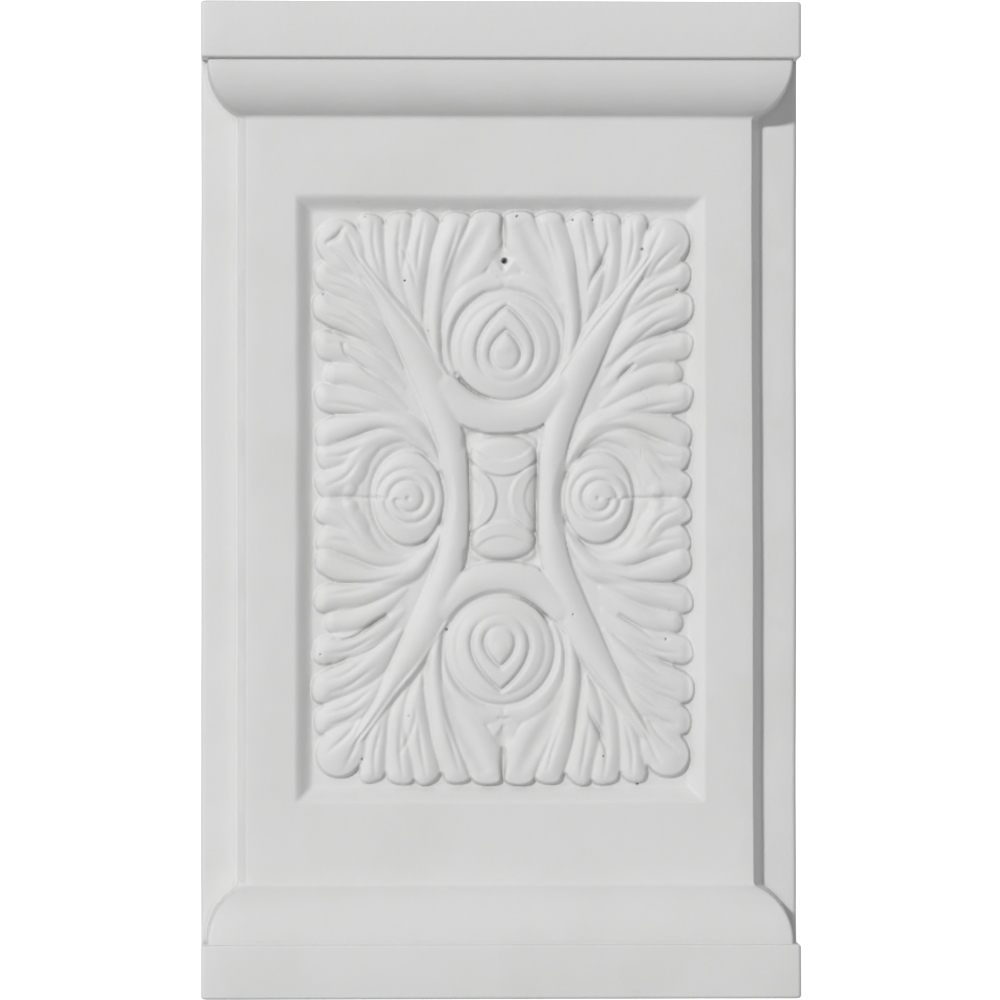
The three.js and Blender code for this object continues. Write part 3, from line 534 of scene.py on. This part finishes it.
@dataclass
class Carving:
    """The acanthus panel: four like quarters about a boss."""

    shift: float = 0.75
    centre_height: float = 100.37
    drawn_scale: float = 1.004 / 1.0095
    wall_slope: float = 2.0
    wander: float = 0.22
    forms: tuple[Ridge | Boss | Rosette | Cut, ...] = (
        WEBS + SIDE_LEAF + SIDE_ROLLS + END_LEAF + (Boss(),) + BANDS + ROSETTES + CUTS
    )

    def heights(self, x: Grid, z: Grid) -> Grid:
        """Return how far the carving stands above its ground.

        Args:
            x: Places across the block, in mm from its axis.
            z: Places up the block, in mm from the floor.

        Returns:
            The height at each place, in mm, and 0 on bare ground.
        """
        across = (x - self.shift) / self.drawn_scale
        up = (z - self.centre_height) / self.drawn_scale
        across = across + self.wander * waviness(across, up, 70.0, 0.2)
        up = up + self.wander * waviness(across, up, 62.0, 1.9)
        hand = np.where(across < 0, -1, 1)
        ends = np.where(up < 0, -1, 1)
        sheet = Sheet(np.abs(across), np.abs(up), hand, ends)
        for form in self.forms:
            form.carve(sheet)
        walled = sheet.height - self.wall_slope * np.maximum(0.0, -sheet.inside)
        return np.maximum(walled, 0.0)

    @staticmethod
    def soften(height: Grid, passes: int) -> Grid:
        """Return the height rubbed down, as sanding and primer leave it.

        Args:
            height: The height on an even grid.
            passes: How often each point is evened with its neighbours.

        Returns:
            The softened height on the same grid.
        """
        for _ in range(passes):
            padded = np.pad(height, 1, mode="edge")
            rows = 0.25 * padded[:-2] + 0.5 * padded[1:-1] + 0.25 * padded[2:]
            height = 0.25 * rows[:, :-2] + 0.5 * rows[:, 1:-1] + 0.25 * rows[:, 2:]
        return height


@dataclass
class Pinholes:
    """Small holes that air left in the cast, as (across, height, width, depth)."""

    holes: tuple[tuple[float, float, float, float], ...] = (
        (1.05, 148.2, 1.1, 2.2), (-35.5, 141.4, 0.5, 0.5),
        (-19.1, 144.2, 0.45, 0.7), (-14.4, 134.1, 0.4, 0.4),
        (-27.1, 157.1, 0.4, 0.4), (3.5, 157.2, 0.5, 0.5),
        (14.8, 156.5, 0.5, 0.6), (18.8, 156.5, 0.45, 0.5),
        (28.8, 150.6, 0.45, 0.6), (35.9, 142.4, 0.5, 0.6),
        (-10.7, 73.9, 0.5, 0.6), (-36.1, 68.9, 0.4, 0.4),
        (-27.7, 47.8, 0.45, 0.6), (-18.3, 56.5, 0.4, 0.4),
        (33.6, 71.9, 0.45, 0.4), (21.0, 48.3, 0.45, 0.5),
        (27.9, 42.7, 0.45, 0.7), (14.8, 76.9, 0.4, 0.4),
        (8.9, 115.2, 0.4, 0.4), (8.3, 85.8, 0.4, 0.5),
    )

    def depths(self, x: Grid, z: Grid) -> Grid:
        """Return how deep the holes are at each place, in mm."""
        depth = np.zeros_like(x)
        for across, height, width, deep in self.holes:
            away = np.hypot(x - across, z - height) / (0.5 * width)
            depth = np.maximum(depth, deep * (1.0 - ease(away - 0.35)))
        return depth


@dataclass
class Panel:
    """The sunk panel, with its hollow edge, that carries the carving."""

    half_width: float = 41.55
    half_height: float = 61.55
    shift: float = 0.14
    centre_height: float = 100.2
    depth: float = 2.8
    edge_width: float = 4.0
    corner: float = 0.8
    carving: Carving = field(default_factory=Carving)
    pinholes: Pinholes = field(default_factory=Pinholes)
    crispness: float = 0.4
    crisp_passes: int = 12
    crisp_from: float = 0.3
    unevenness: float = 0.12
    leaf_unevenness: float = 0.05

    def depths(self, x: Grid, z: Grid) -> Grid:
        """Return how far the face lies behind the die's own face, in mm."""
        from_side = np.abs(x - self.shift) - self.half_width
        from_end = np.abs(z - self.centre_height) - self.half_height
        inward = -join_heights(from_side, from_end, self.corner)
        inward = inward + self.unevenness * waviness(x, z, 47.0, 3.1)
        sunk = self.depth * ease(inward / self.edge_width)
        drawn = self.carving.heights(x, z)
        sharper = drawn - self.carving.soften(drawn, self.crisp_passes)
        crisp = drawn + self.crispness * sharper * (drawn > self.crisp_from)
        raised = np.maximum(self.carving.soften(crisp, 1), 0.0) * ease(inward - 1.0)
        raised = raised + self.leaf_unevenness * waviness(x, z, 31.0, 5.3) * (raised > 0)
        return sunk - raised + self.pinholes.depths(x, z)


@dataclass
class Moulding:
    """The edge from a fascia down to the die: a quarter round under a step."""

    fascia: float
    step: float = 1.4
    straight: float = 0.5
    radius: float = 11.6
    sweep_degrees: float = 70.0
    edge: float = 0.7
    arris: float = 0.6
    lip: float = 0.1
    fillet: float = 0.9

    def profile(self, projection: float, die_projection: float) -> Grid:
        """Return the edge's rows, from the block's end inwards.

        Args:
            projection: How far the fascia stands from the plate, in mm.
            die_projection: How far the die's face stands from the plate.

        Returns:
            Rows of distance from the end, projection and inset.
        """
        rows: list[tuple[float, float, float]] = []
        for turn in np.linspace(0.0, math.pi / 2, 6)[::-1]:
            inset = self.edge * (1 - math.cos(turn))
            rows.append((self.edge * (1 - math.sin(turn)), projection, inset))
        for turn in np.linspace(0.0, math.pi / 2, 6):
            drop = self.fascia - self.arris + self.arris * math.sin(turn)
            rows.append((drop, projection - self.arris + self.arris * math.cos(turn), 0.0))
        under = projection - self.step
        rows.append((self.fascia, under + self.lip, 0.0))
        rows.append((self.fascia + self.lip, under, 0.0))
        start = self.fascia + self.straight
        sweep = math.radians(self.sweep_degrees)
        soft_turn = self.fillet / self.radius
        for turn in np.linspace(0.0, sweep - soft_turn, 22):
            out = under - self.radius * (1 - math.cos(turn))
            rows.append((start + self.radius * math.sin(turn), out, 0.0))
        meet = start + self.radius * math.sin(sweep)
        begin = rows[-1]
        for share in np.linspace(0.2, 1.0, 5):
            left = 1 - share
            place = left ** 2 * begin[0] + 2 * share * left * meet + share ** 2 * (meet + self.fillet)
            out = left ** 2 * begin[1] + (1 - left ** 2) * die_projection
            rows.append((place, out, 0.0))
        return np.asarray(rows)


def add_node(tree: bpy.types.NodeTree, kind: str, values: dict[str | int, object],
             **settings: object) -> bpy.types.Node:
    """Add a node to a tree.

    Args:
        tree: The tree that it joins.
        kind: The node's type.
        values: The values or links of its sockets.
        settings: What is set on the node itself, first.

    Returns:
        The new node.
    """
    node = tree.nodes.new(kind)
    for name, value in settings.items():
        setattr(node, name, value)
    for name, value in values.items():
        if isinstance(value, bpy.types.NodeSocket):
            tree.links.new(value, node.inputs[name])
        else:
            node.inputs[name].default_value = value
    return node


@dataclass
class Block:
    """The whole casting: plate, die, cap and base mouldings, panel and carving."""

    width: float = 120.5
    height: float = 200.0
    back: float = 14.316
    plate_front: float = -1.284
    projection: float = 13.032
    die_projection: float = 4.0
    draft: float = 1.6
    mesh_step: float = 0.225
    face_limit: int = 196_000
    back_arris: float = 0.7
    plate_arris: float = 1.0
    corner_hollow: float = 0.5
    side_waviness: float = 0.14
    side_slant: float = 0.6
    panel_margin: float = 0.5
    weld_distance: float = 2e-6
    sharp_degrees: float = 48.0
    unevenness: float = 0.00016
    uneven_size: float = 34.0
    seed: float = 7.0
    noise_floor: float = 0.3
    cap: Moulding = field(default_factory=lambda: Moulding(fascia=11.4))
    base: Moulding = field(default_factory=lambda: Moulding(fascia=10.9))
    panel: Panel = field(default_factory=Panel)

    def rows(self) -> Grid:
        """Return the rows up the block: height, projection and inset."""
        low = self.base.profile(self.projection, self.die_projection)
        high = self.cap.profile(self.projection, self.die_projection)
        high[:, 0] = self.height - high[:, 0]
        panel = self.panel
        bottom = panel.centre_height - panel.half_height - self.panel_margin
        top = panel.centre_height + panel.half_height + self.panel_margin
        count = int((top - bottom) / self.mesh_step)
        places = np.concatenate([
            np.linspace(low[-1, 0], bottom, 12)[1:-1],
            np.linspace(bottom, top, count),
            np.linspace(top, high[-1, 0], 12)[1:-1],
        ])
        out = np.full_like(places, self.die_projection)
        middle = np.column_stack([places, out, np.zeros_like(places)])
        return np.vstack([low, middle, high[::-1]])

    def front_places(self) -> Grid:
        """Return places across the die's face, from -1 to 1 of its half width."""
        die = self.width / 2 - (self.projection - self.die_projection)
        panel = self.panel
        left = panel.shift - panel.half_width - self.panel_margin
        right = panel.shift + panel.half_width + self.panel_margin
        count = int((right - left) / self.mesh_step)
        places = np.concatenate([
            np.linspace(-die, left, 10)[:-1],
            np.linspace(left, right, count),
            np.linspace(right, die, 10)[1:],
        ])
        return places / die

    def side_columns(self, rows: Grid, hand: int) -> tuple[Grid, Grid]:
        """Return the columns from the back's corner to the face's corner.

        Args:
            rows: Height, projection and inset of each row.
            hand: -1 for the left side and 1 for the right side.

        Returns:
            The columns' places across and in depth, a row of them per height.
        """
        height, out, inset = rows.T
        half = np.full_like(out, self.width / 2) - inset
        side = waviness(height, 60.0 + 31.0 * hand + 0 * height, 83.0, 0.4 * hand)
        half -= self.side_waviness * (1 + side) / 2
        face = self.plate_front - out + inset
        front = half - (self.projection - out)
        lack = np.clip((self.projection - out) / (self.projection - self.die_projection), 0.0, 1.0)
        front = front - self.side_slant * (height / self.height - 0.5) * (hand > 0) * lack
        foot = front + self.draft * lack
        room = half - foot
        back = self.back - inset
        columns: list[tuple[Grid, Grid]] = []
        for turn in np.linspace(0.0, math.pi / 2, 4):
            reach = self.back_arris * (1 - math.sin(turn))
            columns.append((half - reach, back - self.back_arris * (1 - math.cos(turn))))
        plate_edge = np.minimum(self.plate_arris, 0.5 * room)
        back_start = back - self.back_arris
        for share in np.linspace(0.15, 0.85, 5):
            columns.append((half, back_start + share * (self.plate_front + plate_edge - back_start)))
        for turn in np.linspace(0.0, math.pi / 2, 6):
            depth = self.plate_front + plate_edge * (1 - math.sin(turn))
            columns.append((half - plate_edge * (1 - math.cos(turn)), depth))
        hollow = np.minimum(self.corner_hollow, 0.5 * room)
        plate_start = half - plate_edge
        for share in np.linspace(0.2, 1.0, 4):
            across = plate_start + share * (foot + hollow - plate_start)
            columns.append((across, self.plate_front + 0 * half))
        corner = 0.35 + 0.45 * (1 - lack)
        for share in np.linspace(0.25, 1.0, 4):
            reach = hollow * (1 - share) ** 2
            columns.append((foot + reach, self.plate_front - hollow * share ** 2 + 0 * half))
        start = self.plate_front - hollow
        for share in np.linspace(0.2, 1.0, 6):
            columns.append((foot + share * (front - foot), start + share * (face + corner - start)))
        for turn in np.linspace(0.3, math.pi / 2, 5):
            across = front - corner * (1 - math.cos(turn))
            columns.append((across, face + corner * (1 - math.sin(turn))))
        across = np.stack([column[0] for column in columns], axis=1)
        depth = np.stack([column[1] for column in columns], axis=1)
        return hand * across, depth

    def surface(self) -> tuple[Grid, Grid]:
        """Return the block's points, row by row, and how far each is carved."""
        rows = self.rows()
        left_x, left_y = self.side_columns(rows, -1)
        right_x, right_y = self.side_columns(rows, 1)
        places = self.front_places()[1:-1]
        low = left_x[:, -1:]
        high = right_x[:, -1:]
        front_x = low + (places + 1.0) / 2.0 * (high - low)
        face = self.plate_front - rows[:, 1:2] + rows[:, 2:3]
        front_y = np.repeat(face, front_x.shape[1], axis=1)
        x = np.hstack([left_x, front_x, right_x[:, ::-1]])
        y = np.hstack([left_y, front_y, right_y[:, ::-1]])
        z = np.repeat(rows[:, :1], x.shape[1], axis=1)
        carved = np.zeros_like(x)
        on_die = (rows[:, 1] <= self.die_projection + 1e-6) & (rows[:, 2] == 0)
        first = left_x.shape[1]
        last = first + front_x.shape[1]
        patch = np.ix_(on_die, np.arange(first, last))
        carved[patch] = self.panel.depths(x[patch], z[patch])
        return np.stack([x, y, z], axis=2) * MM, carved * MM

    def shell(self) -> bpy.types.Object:
        """Return the closed shell before it is carved."""
        points, carved = self.surface()
        count_rows, count_columns, _ = points.shape
        index = np.arange(count_rows * count_columns).reshape(count_rows, count_columns)
        following = np.roll(index, -1, axis=1)
        quads = np.stack([index[:-1], following[:-1], following[1:], index[1:]], axis=2).reshape(-1, 4)
        mesh = bpy.data.meshes.new("plinth_block_casting")
        faces = quads.tolist() + [index[0, ::-1].tolist(), index[-1].tolist()]
        mesh.from_pydata(points.reshape(-1, 3).tolist(), [], faces)
        attribute = mesh.attributes.new("carved", "FLOAT", "POINT")
        attribute.data.foreach_set("value", carved.ravel().astype(np.float32))
        merged = bmesh.new()
        merged.from_mesh(mesh)
        bmesh.ops.remove_doubles(merged, verts=merged.verts, dist=self.weld_distance)
        bmesh.ops.dissolve_degenerate(merged, edges=merged.edges, dist=self.weld_distance / 2)
        bmesh.ops.recalc_face_normals(merged, faces=merged.faces)
        merged.to_mesh(mesh)
        merged.free()
        block = bpy.data.objects.new("plinth_block_casting", mesh)
        bpy.context.collection.objects.link(block)
        return block

    def carving_tree(self, material: bpy.types.Material) -> bpy.types.NodeTree:
        """Return the node tree that sinks the carved face and leaves it uneven."""
        tree = bpy.data.node_groups.new("carve_block", "GeometryNodeTree")
        ports = tree.interface
        ports.new_socket("Geometry", in_out="INPUT", socket_type="NodeSocketGeometry")
        for name in ("Carved share", "Unevenness", "Uneven size", "Seed"):
            ports.new_socket(name, in_out="INPUT", socket_type="NodeSocketFloat")
        ports.new_socket("Geometry", in_out="OUTPUT", socket_type="NodeSocketGeometry")
        add = partial(add_node, tree)

        def maths(operation: str, first: object, second: object) -> bpy.types.NodeSocket:
            """Add a Math node and return its result."""
            return add("ShaderNodeMath", {0: first, 1: second}, operation=operation).outputs[0]

        given = add("NodeGroupInput", {}).outputs
        carved = add("GeometryNodeInputNamedAttribute", {"Name": "carved"}, data_type="FLOAT")
        depth = maths("MULTIPLY", carved.outputs["Attribute"], given["Carved share"])
        cloud = add("ShaderNodeTexNoise", {
            "Scale": given["Uneven size"], "W": given["Seed"],
        }, noise_dimensions="4D")
        raised = maths("MAXIMUM", maths("SUBTRACT", cloud.outputs["Fac"], self.noise_floor), 0.0)
        uneven = maths("MULTIPLY", maths("MULTIPLY", raised, given["Unevenness"]), -1.0)
        normal = add("GeometryNodeInputNormal", {}).outputs[0]
        inward = add("ShaderNodeVectorMath", {0: normal, "Scale": uneven}, operation="SCALE")
        back = add("ShaderNodeCombineXYZ", {"Y": depth})
        moved = add("ShaderNodeVectorMath", {0: back.outputs[0], 1: inward.outputs[0]}, operation="ADD")
        place = add("GeometryNodeSetPosition", {"Geometry": given["Geometry"], "Offset": moved.outputs[0]})
        real = add("GeometryNodeRealizeInstances", {0: place.outputs[0]})
        dress = add("GeometryNodeSetMaterial", {"Geometry": real.outputs[0], "Material": material})
        add("NodeGroupOutput", {0: dress.outputs[0]})
        return tree

    def make(self, material: bpy.types.Material) -> bpy.types.Object:
        """Return the finished block as one plain mesh.

        Args:
            material: The finish it wears.

        Returns:
            The block's object, at the origin.
        """
        block = self.shell()
        tree = self.carving_tree(material)
        values = {
            "Carved share": 1.0,
            "Unevenness": self.unevenness,
            "Uneven size": self.uneven_size,
            "Seed": self.seed,
        }
        carve = block.modifiers.new("carve", "NODES")
        carve.node_group = tree
        for item in tree.interface.items_tree:
            if item.item_type == "SOCKET" and item.name in values:
                carve[item.identifier] = values[item.name]
        corners = block.modifiers.new("triangles", "TRIANGULATE")
        corners.quad_method = "SHORTEST_DIAGONAL"
        thin = block.modifiers.new("thin", "DECIMATE")
        faces = 2 * len(block.data.polygons)
        thin.ratio = min(1.0, self.face_limit / faces)
        depsgraph = bpy.context.evaluated_depsgraph_get()
        finished = bpy.data.meshes.new_from_object(block.evaluated_get(depsgraph))
        block.modifiers.clear()
        block.data = finished
        finished.name = "plinth_block_casting"
        finished.materials.clear()
        finished.materials.append(material)
        finished.shade_smooth()
        finished.set_sharp_from_angle(angle=math.radians(self.sharp_degrees))
        LOG.info("block: %d faces", len(finished.polygons))
        return block


class Socket:
    """A shader socket that takes part in Python expressions."""

    def __init__(self, shader: "Shader", link: bpy.types.NodeSocket) -> None:
        """Keep the tree and the output that this value comes from."""
        self.shader = shader
        self.link = link

    def maths(self, operation: str, *others: "Socket | float") -> "Socket":
        """Return the result of a Math node on this value and others."""
        return self.shader.node("ShaderNodeMath", dict(enumerate((self, *others))), operation=operation)

    def __add__(self, other: "Socket | float") -> "Socket":
        """Return the sum."""
        return self.maths("ADD", other)

    def __mul__(self, other: "Socket | float") -> "Socket":
        """Return the product."""
        return self.maths("MULTIPLY", other)

    def __sub__(self, other: "Socket | float") -> "Socket":
        """Return the difference."""
        return self.maths("SUBTRACT", other)

    def __rsub__(self, other: float) -> "Socket":
        """Return a number less this value."""
        return (self * -1.0) + other

    def between(self, low: float, high: float) -> "Socket":
        """Return this value mapped from low..high to 0..1 and kept there."""
        return self.shader.node("ShaderNodeMapRange", {
            "Value": self, "From Min": low, "From Max": high,
        }, interpolation_type="SMOOTHSTEP")


class Shader:
    """A material's node tree, with one way to add any node."""

    def __init__(self, name: str) -> None:
        """Start a material with an empty tree."""
        self.material = bpy.data.materials.new(name)
        self.material.use_nodes = True
        self.tree = self.material.node_tree
        self.tree.nodes.clear()

    def node(self, kind: str, values: dict[str | int, object], output: str | int = 0,
             **settings: object) -> Socket:
        """Add a node, as add_node does, and return one of its outputs."""
        plain = {name: value.link if isinstance(value, Socket) else value for name, value in values.items()}
        return Socket(self, add_node(self.tree, kind, plain, **settings).outputs[output])

    def place(self) -> Socket:
        """Return the Object coordinates."""
        return self.node("ShaderNodeTexCoord", {}, "Object")

    def noise(self, place: Socket, scale: float, detail: float = 2.0) -> Socket:
        """Return clouds of noise."""
        return self.node("ShaderNodeTexNoise", {"Vector": place, "Scale": scale, "Detail": detail})

    def mix(self, share: Socket, first: object, second: object) -> Socket:
        """Return a blend of two colours."""
        return self.node("ShaderNodeMix", {0: share, 6: first, 7: second}, 2, data_type="RGBA")

    def closed_share(self, reach: float, inside: bool = False) -> Socket:
        """Return how much of the surroundings within reach is closed off."""
        return 1.0 - self.node("ShaderNodeAmbientOcclusion", {"Distance": reach}, "AO",
                               samples=8, inside=inside, only_local=True)

    def end(self, surface: Socket) -> bpy.types.Material:
        """Join the surface to the output and return the material."""
        output = self.tree.nodes.new("ShaderNodeOutputMaterial")
        self.tree.links.new(surface.link, output.inputs["Surface"])
        return self.material


@dataclass(frozen=True)
class PrimedFinish:
    """Factory white primer on a cast block: dull, with painted shade in hollows and a painted highlight on
    edges.
    """

    colour: tuple[float, float, float, float] = (0.800, 0.800, 0.797, 1.0)
    dusty: tuple[float, float, float, float] = (0.770, 0.769, 0.764, 1.0)
    # Colour of the painted shade that ambient occlusion lays in creases and hollows
    hollow: tuple[float, float, float, float] = (0.52, 0.518, 0.512, 1.0)
    # Colour of the painted highlight on convex edges
    edge: tuple[float, float, float, float] = (0.93, 0.93, 0.927, 1.0)
    painted_shade_reach: float = 0.0022
    highlight_reach: float = 0.0009
    roughness: float = 0.62
    smooth_roughness: float = 0.50
    grain_depth: float = 0.00004
    ripple_depth: float = 0.000064
    scratch_depth: float = 0.00008
    cloud_scale: float = 46.0
    grain_scale: float = 900.0
    ripple_scale: float = 240.0
    streak_turn: tuple[float, float, float] = (0.0, 0.9, 0.0)
    streak_scale: tuple[float, float, float] = (420.0, 420.0, 30.0)
    dusty_share: float = 0.8
    dusty_range: tuple[float, float] = (0.42, 0.72)
    patch_range: tuple[float, float] = (0.52, 0.68)
    scratch_range: tuple[float, float] = (0.71, 0.76)
    painted_shade_range: tuple[float, float] = (0.08, 0.74)
    highlight_range: tuple[float, float] = (0.32, 0.8)
    rough_range: tuple[float, float] = (0.35, 0.65)
    sheen: float = 0.35

    def make(self) -> bpy.types.Material:
        """Return the primer as a material."""
        shader = Shader("primed_white")
        place = shader.place()
        cloud = shader.noise(place, self.cloud_scale, 4.0)
        grain = shader.noise(place, self.grain_scale, 3.0)
        ripple = shader.noise(place, self.ripple_scale)
        long = shader.node("ShaderNodeMapping", {
            "Vector": place, "Rotation": self.streak_turn, "Scale": self.streak_scale,
        })
        streak = shader.noise(long, 1.0)
        scratch = streak.between(*self.scratch_range) * cloud.between(*self.patch_range)
        # Painted shade: darker where ambient occlusion finds creases and hollows
        painted_shade = shader.closed_share(self.painted_shade_reach).between(*self.painted_shade_range)
        # Painted highlight: paler where inside ambient occlusion finds convex edges
        edges = shader.closed_share(self.highlight_reach, inside=True).between(*self.highlight_range)
        mixed = shader.mix(cloud.between(*self.dusty_range) * self.dusty_share, self.colour, self.dusty)
        # Painted shade in the hollows, then a painted highlight on the convex edges
        mixed = shader.mix(edges, shader.mix(painted_shade, mixed, self.hollow), self.edge)
        rough = cloud.between(*self.rough_range) * (self.roughness - self.smooth_roughness)
        rough = rough + self.smooth_roughness
        relief = grain * self.grain_depth + ripple * self.ripple_depth - scratch * self.scratch_depth
        bump = shader.node("ShaderNodeBump", {"Strength": 1.0, "Distance": 1.0, "Height": relief})
        surface = shader.node("ShaderNodeBsdfPrincipled", {
            "Base Color": mixed, "Roughness": rough, "Normal": bump, "Specular IOR Level": self.sheen,
        })
        return shader.end(surface)


@dataclass(frozen=True)
class SweepFinish:
    """Pale paper that is lit so evenly that it shows nearly white."""

    colour: tuple[float, float, float, float] = (0.80, 0.80, 0.80, 1.0)
    shaded: tuple[float, float, float, float] = (0.78, 0.78, 0.78, 1.0)
    glow: float = 0.80
    roughness: float = 0.9

    def make(self, name: str) -> bpy.types.Material:
        """Return the paper as a material."""
        shader = Shader(name)
        place = shader.place()
        cloud = shader.noise(place, 3.0)
        surface = shader.node("ShaderNodeBsdfPrincipled", {
            "Base Color": shader.mix(cloud * 0.1, self.colour, self.shaded), "Roughness": self.roughness,
            "Emission Color": (1.0, 1.0, 1.0, 1.0), "Emission Strength": self.glow,
        })
        return shader.end(surface)


@dataclass
class Studio:
    """A white paper sweep, one light from the upper left, and the camera."""

    camera_turn_degrees: float = 2.0
    camera_distance: float = 1.52
    camera_height: float = 0.1
    lens: float = 270.7
    aim: tuple[float, float, float] = (0.00022, 0.0, 0.1)
    key_place: tuple[float, float, float] = (-1.56, -2.60, 1.30)
    key_size: float = 0.26
    key_power: float = 60.4
    room_light: float = 0.325
    sweep_half_width: float = 0.75
    sweep_front: float = -0.55
    sweep_bend: float = 0.75
    sweep_radius: float = 0.35
    sweep_top: float = 0.9
    sweep_drop: float = 0.0002

    def sweep(self) -> bpy.types.Object:
        """Return the floor and the wall behind, as one curved sheet."""
        radius = self.sweep_radius
        profile = [(self.sweep_front, 0.0), (self.sweep_bend, 0.0)]
        for turn in np.linspace(0.1, math.pi / 2, 12):
            profile.append((self.sweep_bend + radius * math.sin(turn), radius * (1 - math.cos(turn))))
        profile.append((self.sweep_bend + radius, self.sweep_top))
        half = self.sweep_half_width
        points = [(hand * half, y, z - self.sweep_drop) for y, z in profile for hand in (-1, 1)]
        faces = [(2 * row, 2 * row + 1, 2 * row + 3, 2 * row + 2) for row in range(len(profile) - 1)]
        mesh = bpy.data.meshes.new("paper_sweep")
        mesh.from_pydata(points, [], faces)
        mesh.shade_smooth()
        mesh.materials.append(SweepFinish().make("white_paper"))
        sweep = bpy.data.objects.new("paper_sweep", mesh)
        sweep.visible_diffuse = False
        bpy.context.collection.objects.link(sweep)
        return sweep

    def facing(self, data: bpy.types.ID, place: tuple[float, float, float]) -> bpy.types.Object:
        """Add a light or camera at a place, turned to the block's middle."""
        made = bpy.data.objects.new(data.name, data)
        made.location = place
        made.rotation_euler = (Vector(self.aim) - made.location).to_track_quat("-Z", "Y").to_euler()
        bpy.context.collection.objects.link(made)
        return made

    def lights(self) -> None:
        """Add the key light and the room's own light."""
        data = bpy.data.lights.new("key", "AREA")
        data.size = self.key_size
        data.energy = self.key_power
        self.facing(data, self.key_place)
        world = bpy.data.worlds.new("room")
        world.use_nodes = True
        background = world.node_tree.nodes["Background"]
        background.inputs["Color"].default_value = (1.0, 1.0, 1.0, 1.0)
        background.inputs["Strength"].default_value = self.room_light
        bpy.context.scene.world = world

    def camera(self) -> None:
        """Add the camera at the photograph's viewing angle."""
        data = bpy.data.cameras.new("camera")
        data.lens = self.lens
        data.sensor_width = 36.0
        turn = math.radians(self.camera_turn_degrees)
        away = self.camera_distance
        place = (-away * math.sin(turn), -away * math.cos(turn), self.camera_height)
        bpy.context.scene.camera = self.facing(data, place)

    def build(self) -> None:
        """Set up the sweep, the lights, the camera and the picture's tones."""
        self.sweep()
        LOG.info("paper_sweep: stage")
        self.lights()
        self.camera()
        bpy.context.scene.view_settings.view_transform = "Standard"


def main() -> None:
    """Build the studio and the block."""
    Studio().build()
    block = Block().make(PrimedFinish().make())
    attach(block, "root")
    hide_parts("plinth_block")
    LOG.info("plinth_block_casting: stands for plinth_block")


if __name__ == "__main__":
    logging.basicConfig(level=logging.INFO)
    main()
